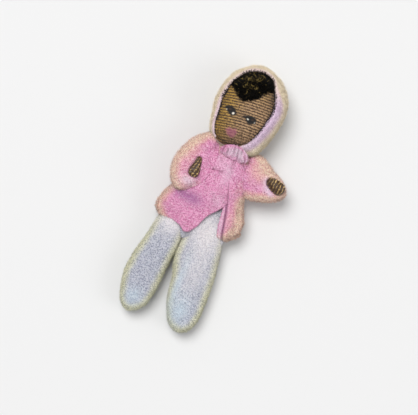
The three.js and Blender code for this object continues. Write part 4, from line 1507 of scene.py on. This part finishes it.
    def hand(self) -> Surface:
        """Make the hand: thread wound closely round a wire end, with the turns showing.

        Returns:
            The hand's surface.
        """
        shares = np.array(self.hand_shares)
        along = 0.5 - 0.5 * np.cos(np.linspace(0.03, 0.97, 90) * np.pi)
        width, depth = (np.interp(along, shares[:, 0], shares[:, k]) for k in (1, 2))
        width, depth = softened(width, 3) * self.hand_half_width, softened(depth, 3) * self.hand_half_depth
        angle = full_turn(64)
        reach = along * self.hand_length
        drift = np.interp(reach, np.arange(len(self.drifts)), self.drifts)[:, None]
        spot = np.stack(np.broadcast_arrays(2 * np.cos(angle), reach[:, None], 2 * np.sin(angle)), axis=-1)
        stray = value_noise(spot.reshape(-1, 3), cell=1.3, seed=33).reshape(spot.shape[:2])
        turns = np.cos(2 * np.pi * reach[:, None] / self.thread_pitch + angle + drift + 2.2 * stray)
        twist = np.cos(2 * np.pi * reach[:, None] / self.strand_pitch + 7 * angle)
        relief = self.turn_relief * turns + self.strand_relief * twist
        x = (width[:, None] + relief * np.minimum(1, width[:, None])) * np.cos(angle)
        z = (depth[:, None] + relief * np.minimum(1, depth[:, None])) * np.sin(angle)
        y = np.broadcast_to(reach[:, None], x.shape)
        cloth = tube(self.hand_frame(np.stack([x, y, z], axis=-1)))
        lit_side = 0.3 + 0.7 * ramp(along[:, None] - 0.5 - np.cos(angle), -0.8, 0.8)
        crest = (ramp(relief / (self.turn_relief + self.strand_relief), 0.0, 0.8) * lit_side).ravel()
        cloth.values["crest"] = np.concatenate([crest, np.zeros(len(cloth.points) - len(crest))])
        return cloth

    def build(self, coat: Coat) -> None:
        """Make the sleeve and the hand.

        Args:
            coat: The coat that the sleeve may lie on.
        """
        cloth, keep = self.sleeve(coat)
        garment = Garment(
            f"coat_sleeve_{self.side}", cloth, COAT_PLUSH, "pink_plush", Pile(seed=self.seed),
            (f"sleeve_{self.side}", f"arm_padding_{self.side}"), fill=0.7, keep=keep,
        )
        joint = np.array(self.joint)
        away = self.placed(np.array([0.0, 1.0, 0.0])) - joint
        start, end = (joint + away * reach for reach in self.bend)
        garment.bending(start, end)
        own = f"hand_{self.side}"
        dressed(self.hand(), f"wound_{own}", HAND_THREAD, own, own)


LEFT_ARM = Arm(
    side="left", joint=(9.2, 8.4, 8.5), turn=-96.2, pitch=0.0, wrist=(-2.2, 7.2, 4.1), hand_turn=-8.6,
    hand_length=7.4, hand_half_width=2.4,
    outline=[
        (6.0, 4.5, 6.0, 12.0), (7.6, 1.8, 7.6, 15.2), (9.6, 0.3, 9.6, 17.3), (11.7, -0.1, 11.9, 17.2),
        (15.3, 0.4, 14.9, 15.4), (19.3, 1.7, 18.7, 13.4), (22.2, 3.1, 21.2, 12.2), (23.4, 4.1, 23.0, 11.0),
        (24.3, 5.3, 24.2, 9.5), (24.7, 6.2, 24.7, 8.2), (24.8, 6.9, 24.8, 7.3),
    ],
    tip_rise=0.0, lies_on_coat=False, seed=41,
    rim_outline=[
        (10.3, 17.7), (14.7, 15.3), (18.7, 13.3), (22.0, 11.9), (24.0, 9.9), (24.9, 6.9), (23.0, 3.7),
        (19.3, 1.7), (15.3, 0.5), (11.7, -0.1), (4.0, -2.0), (4.0, 19.0),
    ],
    tints={
        "rim": [(17.0, 11.0, 7.0, 4.0, 0.6), (12.0, 12.0, 4.0, 4.0, 0.25), (20.0, 2.5, 5.0, 2.0, 0.4)],
        "lining": [(18.0, 6.6, 1.7, 1.1, 1.0), (19.6, 5.3, 1.3, 0.8, 0.9), (16.2, 9.0, 1.0, 1.6, 0.8)],
        "shade": [(9.8, 3.0, 1.2, 2.0, 0.2)],
    },
    hand_shares=[
        (0.0, 0.2, 0.2), (0.04, 0.45, 0.6), (0.16, 0.72, 0.9), (0.4, 0.92, 1.0), (0.7, 1.0, 1.0),
        (0.87, 0.85, 0.9), (0.96, 0.5, 0.55), (1.0, 0.12, 0.15),
    ],
    turn_relief=0.16, strand_relief=0.05,
)
RIGHT_ARM = Arm(
    side="right", joint=(-9.2, 9.9, 10.5), turn=171.8, pitch=6.0, wrist=(-0.9, 2.8, 4.1), hand_turn=8.5,
    hand_length=7.6, hand_half_width=1.85,
    outline=[
        (-8.6, 17.3, -7.2, 17.2), (-10.0, 16.9, -5.2, 16.6), (-12.3, 15.0, -3.6, 14.4),
        (-14.6, 12.4, -2.8, 11.4), (-16.3, 8.7, -2.4, 7.8), (-17.7, 4.2, -2.6, 4.0),
        (-17.3, 0.2, -3.4, 0.4), (-16.2, -3.0, -5.4, -2.8), (-14.6, -5.0, -7.6, -4.9),
        (-13.2, -5.9, -9.6, -5.9), (-12.0, -6.2, -11.0, -6.2),
    ],
    tip_rise=1.9, lies_on_coat=True, seed=43,
    rim_outline=[
        (-9.7, 17.1), (-11.0, 16.0), (-14.3, 12.7), (-16.3, 8.7), (-17.8, 4.0), (-17.2, 0.0), (-16.0, -3.3),
        (-14.5, -5.4), (-12.0, -7.5), (-8.0, -9.0), (2.0, -9.0), (2.0, 19.0),
    ],
    tints={
        "rim": [(-13.0, 8.0, 4.0, 8.0, 0.45), (-9.0, -2.6, 5.0, 2.6, 0.5)],
        "lining": [(-9.3, -2.0, 2.8, 1.8, 0.9)],
        "shade": [(-5.0, -2.8, 2.0, 1.6, 0.3)],
    },
    hand_shares=[
        (0.0, 0.2, 0.3), (0.04, 0.42, 0.7), (0.15, 0.52, 0.9), (0.42, 0.72, 1.0), (0.7, 1.0, 1.0),
        (0.9, 0.96, 0.9), (0.97, 0.62, 0.6), (1.0, 0.2, 0.2),
    ],
    turn_relief=0.06, strand_relief=0.12,
)


# Collar


@dataclass
class Collar:
    """The gathered cloth at the throat: soft uneven folds that spread from under the chin."""

    middle: tuple[float, float] = (2.0, 13.3)
    half_width: float = 5.4
    half_height: float = 2.6
    thickness: float = 1.0
    top: float = 16.1
    slope: float = 0.44
    folds: int = 5
    fullness: float = 1.1
    rows: int = 60
    columns: int = 150

    def build(self) -> None:
        """Make the gathers and their pile."""
        angle = np.linspace(-np.pi, np.pi, self.columns + 1)[:-1]
        rings = []
        for lean in np.linspace(-0.5, 0.5, self.rows) * np.pi:
            x = self.half_width * math.cos(lean) ** self.fullness * np.cos(angle)
            y = self.half_height * math.cos(lean) ** self.fullness * np.sin(angle)
            z = np.full(self.columns, self.top - self.thickness + self.thickness * math.sin(lean))
            rings.append(np.stack([x, y, z], axis=1))
        cloth = tube(np.array(rings))
        points = cloth.points
        from_middle = np.hypot(points[:, 0] / self.half_width, points[:, 1] / self.half_height)
        near_edge = ramp(from_middle, 0.45, 0.95)
        drift = value_noise(points * [1, 0.4, 0], cell=1.9, seed=52) * 4.5
        fan = points[:, 0] * (1 + 0.09 * points[:, 1]) / self.half_width
        ruffle = np.cos(np.pi * self.folds * fan + drift + 0.5 * points[:, 1])
        depth = 0.7 + 0.4 * value_noise(points * [1, 0.6, 0], cell=1.7, seed=54)
        depth *= ramp(points[:, 2], self.top - 2, self.top - 0.5)
        points[:, 2] += depth * ruffle + self.slope * points[:, 1] - 0.02 * points[:, 0] ** 2
        points[:, 1] += 0.35 * ruffle * ramp(-points[:, 1], 0.0, 2.0) - 0.025 * points[:, 0] ** 2 + 0.4
        points[:, :2] += self.middle
        pale = 0.65 + 0.4 * ramp(points[:, 0], 1.0, 7.0)
        pale = pale + 0.4 * value_noise(points, cell=1.5, seed=53) - 0.6 * near_edge
        cloth.values["lining"] = np.clip(pale, 0, 1)
        cloth.values["shade"] = 0.15 * ramp(-ruffle, 0.5, 1.0)
        pile = Pile(length=0.5, lift=3.2, seed=51)
        nodes = ("collar_gather",)
        Garment("collar_folds", cloth, COAT_PLUSH, "pink_plush", pile, nodes, fill=0.4).riding("torso")


# Head


@dataclass
class Head:
    """The hood with its padded head, the jersey face, the overcast edge and the mohair tuft."""

    centre: tuple[float, float] = (-0.6, 30.0)
    middle_depth: float = 10.0
    half_depth: float = 10.0
    floor: float = 0.3
    inset: float = 0.55
    jersey_drop: float = 1.5
    chin_drop: float = 1.8
    chin_reach: float = 26
    # How the head rises from the hood's edge to its middle
    flatness: float = 2.2
    roundness: float = 0.45
    # The roll of cloth round the face: its height, how far out its middle is, and its reach
    roll_height: float = 0.55
    roll_middle: float = 1.1
    roll_reach: float = 0.9
    # How the lip turns down to the jersey, and how deep it is tucked
    lip_drop: float = 0.9
    lip_reach: float = 0.35
    tuck_depth: float = 1.9
    tuck_width: float = 0.25
    seam_room: float = 0.9
    rib_height: float = 0.05
    columns: int = 180
    rib_pitch: float = 0.95
    rib_tilt: float = 8.0
    stitch_count: int = 150
    # The stitches' lean, reach inwards and outwards, radius, height over the jersey, and where they fade in
    stitch_slant: tuple[float, float] = (0.35, 0.3)
    stitch_in: tuple[float, float] = (0.3, 0.8)
    stitch_out: tuple[float, float] = (0.2, 0.75)
    stitch_radius: tuple[float, float] = (0.09, 0.17)
    stitch_lift: float = 0.15
    stitch_rise: float = 1.35
    stitch_starts: tuple[float, float] = (27.0, 18.0)
    stitch_fade: float = 5.0
    curl_count: int = 1900
    curl_tries: int = 9000
    # The curls' heading in degrees, length, width, number of turns and radius
    curl_heading: tuple[float, float] = (-80, 50)
    curl_length: tuple[float, float] = (1.0, 2.4)
    curl_width: tuple[float, float] = (0.3, 0.9)
    curl_turns: tuple[float, float] = (0.5, 1.3)
    curl_radius: tuple[float, float] = (0.08, 0.15)
    # Golden curls: their radius, where most of them are, and their share there and elsewhere
    golden_radius: tuple[float, float] = (0.05, 0.08)
    golden_corner: tuple[float, float] = (0.0, 36.5)
    golden_shares: tuple[float, float] = (0.16, 0.015)
    # How far from the tuft's edge it is at its full height
    tuft_shoulder: float = 2.0
    tuft_bed_lift: float = 0.12
    tuft_bed_height: float = 1.3
    # How soft and how strong the paint is
    eye_softness: float = 0.5
    eye_strength: float = 1.8
    glint_softness: float = 0.45
    iris_softness: float = 0.5
    mouth_softness: float = 0.55
    mouth_strength: float = 0.62
    lip_width: float = 0.42
    lip_strength: float = 0.5
    hair_shadow: float = 0.75
    hood_outline: tuple = (
        (-0.8, 46.9), (-5.0, 45.5), (-9.7, 41.4), (-12.0, 36.0), (-12.8, 30.0), (-12.0, 24.3),
        (-10.6, 19.6), (-9.4, 16.8), (-7.0, 14.4), (-3.0, 13.0), (1.5, 12.8), (6.0, 13.6), (9.2, 15.4),
        (10.4, 17.6), (11.8, 21.3), (12.8, 26.0), (13.8, 32.0), (13.0, 37.3), (10.4, 41.4), (7.6, 44.0),
        (3.4, 46.3),
    )
    face_outline: tuple = (
        (0.5, 44.0), (-3.0, 43.4), (-5.6, 42.0), (-8.0, 38.4), (-9.6, 34.7), (-10.1, 30.0), (-9.4, 25.0),
        (-9.0, 20.5), (-7.5, 17.5), (-4.6, 15.9), (-2.0, 15.8), (0.4, 16.2), (2.9, 17.4), (5.2, 18.9),
        (6.7, 22.0), (7.7, 26.0), (8.7, 32.0), (8.0, 36.3), (6.0, 40.0), (4.0, 43.0),
    )
    tuft_outline: tuple = (
        (-8.6, 35.8), (-6.7, 34.5), (-5.3, 33.1), (-3.0, 32.3), (-0.5, 33.3), (1.4, 34.9), (2.2, 36.8),
        (3.7, 38.4), (5.6, 39.4), (4.8, 42.0), (2.3, 43.3), (-0.4, 43.6), (-3.5, 42.7), (-5.7, 40.9),
        (-7.6, 38.6), (-8.9, 36.9),
    )
    # Where the padding swells or sinks: its middle, its reach and how high it stands
    swells: tuple = (
        ((-5.6, 27.0), 2.6, -0.3), ((2.3, 26.4), 2.4, -0.3), ((-1.8, 23.6), 1.4, 0.35),
        ((-2.2, 20.3), 2.2, 0.25), ((-5.9, 22.0), 2.6, 0.25), ((2.6, 22.0), 2.4, 0.25),
    )
    # Paint on the jersey: the dark of each eye, spots in them, and the mouth. A spot has its middle,
    # its width and height, its turn in degrees and its amount
    eye_outlines: tuple = (
        [(-8.0, 27.1), (-7.2, 27.8), (-6.1, 28.2), (-4.8, 28.1), (-3.9, 27.5), (-3.3, 26.4),
         (-3.8, 25.6), (-4.6, 25.4),
         (-5.6, 25.7), (-6.3, 26.5), (-7.1, 27.1)],
        [(-0.7, 26.6), (0.6, 27.2), (2.0, 27.8), (3.2, 27.7), (4.4, 27.0), (4.3, 26.4),
         (3.4, 25.5), (2.2, 25.1),
         (1.3, 25.6), (0.5, 26.4)],
    )
    eye_lights: tuple = (
        ((-4.25, 26.2), (0.85, 0.75), 40, 1.0), ((-6.95, 26.65), (0.45, 0.6), 0, 0.35),
        ((1.35, 26.35), (0.8, 0.5), -20, 0.8), ((4.05, 26.1), (0.45, 0.7), 0, 0.35),
    )
    irises: tuple = (
        ((-5.9, 27.2), (1.0, 0.8), 0, 0.45), ((3.0, 26.8), (1.0, 0.8), 0, 0.45),
    )
    # Painted shade on the jersey at the right of the forehead, the right cheek and the chin
    dusky: tuple = (
        (7.4, 38.0, 2.6, 4.5, 0.75), (8.6, 30.0, 1.6, 6.0, 0.45), (6.4, 21.0, 2.0, 3.0, 0.35),
        (-1.0, 16.4, 5.0, 1.6, 0.35), (-9.4, 26.0, 1.6, 8.0, 0.3), (-6.0, 39.5, 2.0, 2.0, 0.4),
        (-2.2, 26.5, 3.0, 2.5, 0.2), (0.6, 18.2, 3.4, 2.2, 0.15),
    )
    mouth_outline: tuple = (
        (-4.4, 20.1), (-3.4, 21.2), (-2.3, 20.9), (-1.1, 21.5), (-0.3, 20.6), (-0.5, 18.9), (-1.5, 18.0),
        (-3.1, 18.5),
    )
    lip_lines: tuple = (
        [(-3.9, 19.9), (-2.9, 20.3), (-2.3, 19.8), (-1.5, 20.4), (-0.8, 20.1)], [(-2.7, 18.8), (-1.6, 18.5)],
    )

    def polar(self, outline: tuple, angles: np.ndarray) -> np.ndarray:
        """Measure an outline from the head's centre.

        Args:
            outline: The outline's corners.
            angles: The directions that are asked for.

        Returns:
            How far the outline is in each direction.
        """
        dense = along_line(closed(outline), np.linspace(0, 1, 400)[:-1])
        dense = softened(np.concatenate([dense, dense, dense]), 5)[399:798] - self.centre
        turn = np.arctan2(dense[:, 1], dense[:, 0])
        order = np.argsort(turn)
        return np.interp(angles, turn[order], np.linalg.norm(dense, axis=1)[order], period=2 * np.pi)

    def front(self, share: np.ndarray) -> np.ndarray:
        """Find the head's height at a share of the way from its centre to the hood's edge."""
        fall = np.clip(share, 0, 1) ** self.flatness
        return self.middle_depth + self.half_depth * np.clip(1 - fall, 0, 1) ** self.roundness

    def from_centre(self, points: Points) -> tuple[np.ndarray, np.ndarray]:
        """Find the direction and the distance of places from the head's centre, seen from above."""
        offset = points[:, :2] - self.centre
        return np.arctan2(offset[:, 1], offset[:, 0]), np.linalg.norm(offset, axis=1)

    def face_height(self, points: Points) -> np.ndarray:
        """Find the height of the bare jersey."""
        turn, reach = self.from_centre(points)
        return self.front(reach / self.polar(self.hood_outline, turn)) - self.jersey_drop

    def lip_distance(self, points: Points) -> np.ndarray:
        """Measure how far outside the face's edge places are."""
        turn, reach = self.from_centre(points)
        return reach - self.polar(self.face_outline, turn)

    def hood(self) -> Surface:
        """Make the hood, from the middle of its back over its sides to the lip round the face.

        Returns:
            The cloth.
        """
        angles = -np.pi + full_turn(self.columns)
        outer = self.polar(self.hood_outline, angles) - self.inset
        inner = self.polar(self.face_outline, angles)
        rows = []
        for share in (0.08, 0.16, 0.22):
            rows.append((outer * share, np.full(self.columns, self.floor)))
        for lean in np.linspace(-0.97, 0.0, 20)[:-1]:
            share = (1 - (-lean) ** self.flatness) ** 0.5
            height = self.middle_depth + (self.middle_depth - self.floor) * lean
            rows.append((outer * share, np.full(self.columns, height)))
        opening = inner / outer
        under_chin = self.chin_drop * np.exp(-(((np.degrees(angles) + 90) / self.chin_reach) ** 4))
        for step in np.linspace(0, 1, 30):
            share = 1 - (1 - opening) * (1 - np.cos(step * np.pi / 2)) ** 0.7
            beyond = (share - opening) * outer
            roll = self.roll_height * np.exp(-((beyond - self.roll_middle) / self.roll_reach) ** 2)
            drop = self.lip_drop * np.exp(-(beyond / self.lip_reach) ** 2)
            rows.append((outer * share, self.front(share) + roll - drop - under_chin))
        rows.append((inner + self.tuck_width, self.front(opening) - self.tuck_depth - under_chin))
        reach, height = (np.stack(part) for part in zip(*rows))
        x, y = self.centre[0] + reach * np.cos(angles), self.centre[1] + reach * np.sin(angles)
        cloth = tube(np.stack([x, y, height], axis=-1), True, False)
        normals = cloth.normals()
        lumps = 0.22 * value_noise(cloth.points, cell=4.0, seed=61) * ramp(cloth.points[:, 2], 1.0, 4.0)
        cloth.points += normals * lumps[:, None]
        away = self.lip_distance(cloth.points)
        high = ramp(cloth.points[:, 2], 10.0, 12.5)
        right = ramp(cloth.points[:, 0], -4.0, 8.0) * ramp(-cloth.points[:, 1], -42.0, -34.0)
        band = 1.0 + 2.0 * right
        cloth.values["rim"] = np.clip(ramp(away / band, 0.7, 1.6) + (1 - high), 0, 1)
        low = ramp(-cloth.points[:, 1], -38.0, -24.0)
        pale = (1 - ramp(away / band, 0.6, 1.3)) * high
        cloth.values["lining"] = pale * np.maximum(0.9 * right, 0.1 + 0.35 * low)
        return cloth

    def face(self) -> Surface:
        """Make the face: jersey stretched over the padded head, with painted eyes and mouth.

        Returns:
            The jersey.
        """
        outline = np.array(self.face_outline)
        centre = np.array(self.centre)
        offset = outline - centre
        grown = centre + offset * (1 + self.seam_room / np.linalg.norm(offset, axis=1))[:, None]
        border = along_line(closed(grown), np.linspace(0, 1, 600))
        heights = np.linspace(grown[:, 1].min() + 0.05, grown[:, 1].max() - 0.05, 230)
        rows = []
        for height in heights:
            near = border[np.argsort(np.abs(border[:, 1] - height))[:14], 0]
            rows.append((near.min(), near.max()))
        low, high = (softened(np.array(rows)[:, k], 2) for k in (0, 1))
        share = np.linspace(0, 1, 120)
        x = low[:, None] + (high - low)[:, None] * share
        y = np.broadcast_to(heights[:, None], x.shape)
        flat = np.stack([x.ravel(), y.ravel()], axis=1)
        phase = self.rib_phase(flat)
        z = self.face_height(flat) + self.rib_height * np.cos(phase)
        for at, reach, amount in self.swells:
            z += amount * np.exp(-(((flat - at) / reach) ** 2).sum(1))
        faces = grid_faces(len(heights), len(share), False)
        surface = Surface(raised(flat, z), [faces], self.face_paint(flat, phase))
        return surface.turned_over() if surface.normals()[:, 2].mean() < 0 else surface

    def rib_phase(self, flat: Points) -> np.ndarray:
        """Find the turn of the ribs, which lean and curve with the cheeks.

        Args:
            flat: Places, seen from above.

        Returns:
            The turn at each place, in radians.
        """
        lean = math.radians(self.rib_tilt)
        across = flat[:, 0] - self.centre[0]
        height = flat[:, 1] * math.cos(lean) - across * math.sin(lean) + 0.006 * across**2
        return 2 * np.pi * height / self.rib_pitch

    def spots(self, flat: Points, spots: tuple, soft: float) -> np.ndarray:
        """Lay oval spots of paint.

        Args:
            flat: Places, seen from above.
            spots: Each spot's middle, width and height, turn in degrees and amount.
            soft: How soft the edges are, as a share of the spots' sizes.

        Returns:
            How much paint there is at each place.
        """
        paint = []
        for at, size, tilt, amount in spots:
            lean = math.radians(tilt)
            offset = flat - at
            u = offset[:, 0] * math.cos(lean) + offset[:, 1] * math.sin(lean)
            v = -offset[:, 0] * math.sin(lean) + offset[:, 1] * math.cos(lean)
            away = np.sqrt((2 * u / size[0]) ** 2 + (2 * v / size[1]) ** 2)
            paint.append(amount * (1 - ramp(away, 1 - soft, 1 + soft)))
        return np.max(paint, axis=0)

    def painted(self, flat: Points, outline: tuple, soft: float) -> np.ndarray:
        """Return a painted patch with soft, slightly ragged edges, as paint has on knitted cloth."""
        ragged = 0.12 * value_noise(raised(flat, np.zeros(len(flat))), cell=0.45, seed=73)
        return ramp(depth_within(flat, outline) + ragged, -soft, soft)

    def face_paint(self, flat: Points, phase: np.ndarray) -> Values:
        """Find the values of the face: ribs, the warm cheek, paint, and the dark edge, which also carries
        painted shade.

        Args:
            flat: Places, seen from above.
            phase: The turn of the ribs at each place.

        Returns:
            The values that the jersey's finish reads.
        """
        x, y = flat.T
        level = raised(flat, np.zeros(len(flat)))
        darks = [self.painted(flat, eye, self.eye_softness) for eye in self.eye_outlines]
        eyes = np.max(darks, axis=0)
        from_lips = (distance_to_line(flat, np.array(line)) for line in self.lip_lines)
        lips = np.max([np.exp(-((away / self.lip_width) ** 2)) for away in from_lips], axis=0)
        from_edge = np.maximum(depth_within(flat, self.face_outline), 0)
        # The dark sewn edge, and painted shade where the jersey tucks under the hood's lip
        sewn_dark_and_shade = 1 - ramp(from_edge + 0.35 * value_noise(level, cell=0.8, seed=71), 0.15, 0.9)
        sewn_dark_and_shade *= 0.25 + 0.75 * ramp(y, 18.5, 23.0)
        from_tuft = np.maximum(-depth_within(flat, self.tuft_outline), 0)
        # Painted shadow of the tuft on the jersey
        hair = self.hair_shadow * (1 - ramp(from_tuft + 0.6 * value_noise(level, cell=0.9, seed=72), 0.1, 1.5))
        # Painted shade at the blots on the jersey
        face_shade = blotted(np.zeros(len(flat)), flat, self.dusky)
        return {
            "rib": 0.5 + 0.5 * np.cos(phase) * (1 - 0.5 * ramp(-y, -23.0, -18.0)),
            "warm": np.clip(ramp(-x, -0.5, 8.0) + 0.5 * ramp(y, 30, 38) * ramp(-x, -9, -3), 0, 1),
            "eye": np.clip(self.eye_strength * eyes, 0, 1),
            "glint": self.spots(flat, self.eye_lights, self.glint_softness),
            "mouth": self.mouth_strength * self.painted(flat, self.mouth_outline, self.mouth_softness),
            "lips": self.lip_strength * lips,
            "iris": self.spots(flat, self.irises, self.iris_softness),
            # The dark sewn edge, with painted shade under the tuft and at the blots
            "edge": 1 - (1 - np.maximum(sewn_dark_and_shade, hair)) * (1 - face_shade),
        }

    def stitches(self) -> Surface:
        """Make the overcast stitches that bind the jersey to the hood, each a short bent thread.

        Returns:
            All the stitches.
        """
        chance = np.random.default_rng(81)
        count = self.stitch_count
        places = (np.arange(count) + chance.uniform(-0.3, 0.3, count)) / count % 1.0
        threads = []
        for point in along_line(closed(self.face_outline), places):
            out = unit(point - np.array(self.centre))
            side = np.array([-out[1], out[0]])
            slant = side * chance.normal(*self.stitch_slant)
            steps = np.linspace(-1, 1, 7)
            start = self.stitch_starts[int(point[0] > 0)]
            size = 0.3 + 0.7 * float(ramp(point[1:], start, start + self.stitch_fade)[0])
            reaches = (self.stitch_in, self.stitch_out)
            reach_in, reach_out = (size * chance.uniform(*reach) for reach in reaches)
            along = np.where(steps < 0, steps * reach_in, steps * reach_out)
            flat = point + out * along[:, None] + slant * along[:, None]
            rise = self.stitch_rise * size * ramp(along, -0.3, 0.55)
            height = self.face_height(flat) + self.stitch_lift + rise
            radius = np.full(len(steps), chance.uniform(*self.stitch_radius))
            thread = swept_tube(raised(flat, height), radius, 5)
            thread.values["crest"] = np.full(len(thread.points), chance.uniform(0, 0.8))
            threads.append(thread)
        return merged(threads)

    def tuft(self) -> Surface:
        """Make the curls of the mohair tuft, black ones with some golden ones over them.

        Returns:
            All the curls.
        """
        chance = np.random.default_rng(91)
        outline = np.array(self.tuft_outline)
        roots = chance.uniform(outline.min(0), outline.max(0), (self.curl_tries, 2))
        roots = roots[inside_outline(roots, outline)][: self.curl_count]
        strands = []
        for root, away in zip(roots, depth_within(roots, outline)):
            steps = np.linspace(0, 1, 13)
            body = min(1.0, away / self.tuft_shoulder)
            in_corner = root[0] < self.golden_corner[0] and root[1] > self.golden_corner[1]
            golden = chance.random() < self.golden_shares[int(not in_corner)]
            heading = math.radians(chance.normal(*self.curl_heading))
            ahead = np.array([math.cos(heading), math.sin(heading)])
            side = np.array([-ahead[1], ahead[0]])
            curl = chance.uniform(*self.curl_width) * (0.5 + 0.5 * body)
            turns = chance.uniform(*self.curl_turns) * 2 * np.pi * steps + chance.uniform(0, 6)
            flat = root + ahead * ((steps - 0.5) * chance.uniform(*self.curl_length))[:, None]
            flat += side * (curl * np.cos(turns))[:, None] + ahead * (curl * np.sin(turns))[:, None]
            level = 0.1 + body * (chance.uniform(0.3, 2.0) + 0.5 * golden) + 0.4 * np.sin(turns) * body
            height = self.face_height(flat) + np.maximum(level, 0.08)
            thick = chance.uniform(*(self.golden_radius if golden else self.curl_radius))
            radius = thick * np.sin(np.pi * np.clip(steps * 0.9 + 0.08, 0, 1)) + 0.02
            strand = swept_tube(raised(flat, height), radius, 4)
            strand.values["crest"] = np.full(len(strand.points), 1.0 if golden else chance.uniform(0, 0.02))
            strands.append(strand)
        return merged(strands)

    def tuft_bed(self) -> Surface:
        """Make the felted bed under the curls.

        Returns:
            The bed.
        """
        outline = np.array(self.tuft_outline)
        middle = outline.mean(0)
        border = along_line(closed(outline), np.linspace(0, 1, 81)[:-1])
        border = softened(np.concatenate([border] * 3), 2)[80:160]
        rings = []
        for share in np.linspace(1.0, 0.05, 14):
            flat = middle + (border - middle) * share
            dome = self.tuft_bed_lift + self.tuft_bed_height * (1 - share**2) ** 0.6
            rings.append(raised(flat, self.face_height(flat) + dome))
        bed = tube(np.array(rings), False, True)
        if bed.normals()[:, 2].mean() < 0:
            bed.turned_over()
        bed.points += 0.25 * value_noise(bed.points, cell=0.8, seed=93)[:, None] * [0, 0, 1]
        bed.values["crest"] = np.zeros(len(bed.points))
        return bed

    def build(self) -> None:
        """Make the head's pieces."""
        hood = self.hood()
        keep = 1 - ramp(-self.lip_distance(hood.points), -0.05, 0.0)
        pile, nodes = Pile(lift=4.0, seed=63), ("hood", "head_padding")
        Garment("hood_plush", hood, HOOD_PLUSH, "cream_plush", pile, nodes, 0.8, keep).riding("head")
        tuft = merged([self.tuft(), self.tuft_bed()])
        face = dressed(self.face(), "jersey_face", FACE_JERSEY, "head", "face")
        dressed(self.stitches(), "overcast_edge", OVERCAST_THREAD, "head", "face_stitching")
        dressed(tuft, "mohair_tuft", MOHAIR, "head", "hair")


# Skeleton


@dataclass
class Skeleton:
    """The wires and ties that keep their solids and get their finishes."""

    wire_marks: tuple[str, ...] = ("wire", "knot")
    ties: tuple[str, ...] = ("neck_thread", "waist_thread")

    def build(self) -> None:
        """Dress the wires and the ties."""
        for name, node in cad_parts.items():
            if any(mark in name for mark in self.wire_marks):
                finish = SKELETON_WIRE
            elif name in self.ties:
                finish = TIE_THREAD
            else:
                continue
            node.data.materials.clear()
            node.data.materials.append(finish.material())
            LOG.info("%s: %s", name, finish.name)


# Studio


class Light(Enum):
    """The lamps: metres right, up the picture and over the doll, size in metres, power in watts."""

    KEY = ((-0.5, 1.15, 2.75), 1.8, 68.0)
    FILL = ((1.5, -0.5, 1.2), 1.4, 7.0)


@dataclass
class Studio:
    """The pale board, two soft lights, the even room light and the camera straight above."""

    middle: tuple[float, float] = (1.504, -7.8)
    roll: float = 24.0
    picture_width: float = 150.5
    focus_height: float = 8.0
    lens: float = 150.0
    sensor: float = 36.0
    room_light: float = 0.385

    def build(self) -> None:
        """Make the stage, the lights and the camera."""
        scene = bpy.context.scene
        scene.view_settings.view_transform = "Standard"
        board = bpy.data.meshes.new("board")
        board.from_pydata([(-3, -3, 0), (3, -3, 0), (3, 3, 0), (-3, 3, 0)], [], [(0, 1, 2, 3)])
        board.materials.append(BOARD.material())
        floor = bpy.data.objects.new("board", board)
        scene.collection.objects.link(floor)
        floor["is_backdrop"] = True
        world = bpy.data.worlds.new("room")
        world.use_nodes = True
        background = world.node_tree.nodes["Background"].inputs
        background["Color"].default_value = (1, 1, 1, 1)
        background["Strength"].default_value = self.room_light
        scene.world = world
        target = np.array([*self.middle, self.focus_height]) * METRES_PER_MM
        turn = math.radians(self.roll)
        for light in Light:
            (right, up, height), size, power = light.value
            lamp = bpy.data.lights.new(light.name.lower(), "AREA")
            lamp.shape, lamp.size, lamp.energy = "DISK", size, power
            holder = bpy.data.objects.new(light.name.lower(), lamp)
            x = right * math.cos(turn) - up * math.sin(turn)
            y = right * math.sin(turn) + up * math.cos(turn)
            place = np.array([x, y, height])
            holder.location = target + place
            scene.collection.objects.link(holder)
            aim(holder, place)
        camera = bpy.data.objects.new("camera", bpy.data.cameras.new("camera"))
        camera.data.lens, camera.data.sensor_width = self.lens, self.sensor
        camera.data.clip_start, camera.data.clip_end = 0.05, 10
        distance = self.picture_width * self.lens / self.sensor
        camera.location = target + np.array([0, 0, distance * METRES_PER_MM])
        camera.rotation_euler = (0, 0, turn)
        scene.collection.objects.link(camera)
        scene.camera = camera
        LOG.info("camera %.0f mm above the doll", distance)


def aim(holder: bpy.types.Object, place: Points) -> None:
    """Turn a lamp so that it looks back along its place."""
    x, y, z = place
    holder.rotation_euler = (math.atan2(math.hypot(x, y), z), 0, math.atan2(y, x) + math.pi / 2)


def write_sizes() -> None:
    """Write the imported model's box and the dressed model's box."""
    boxes = {"cad": cad_bounds, "visual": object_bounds()}
    for name, (low, high) in boxes.items():
        corners = [[round(x * 1000, 1) for x in corner] for corner in (low, high)]
        LOG.info("%s box %s to %s mm", name, *corners)


def main() -> None:
    """Build the studio and every piece of the doll in order."""
    logging.basicConfig(level=logging.INFO, format="%(message)s")
    Studio().build()
    Skeleton().build()
    Trousers().build()
    coat = Coat()
    coat.build()
    for arm in (LEFT_ARM, RIGHT_ARM):
        arm.build(coat)
    Collar().build()
    Head().build()
    write_sizes()


if __name__ == "__main__":
    main()
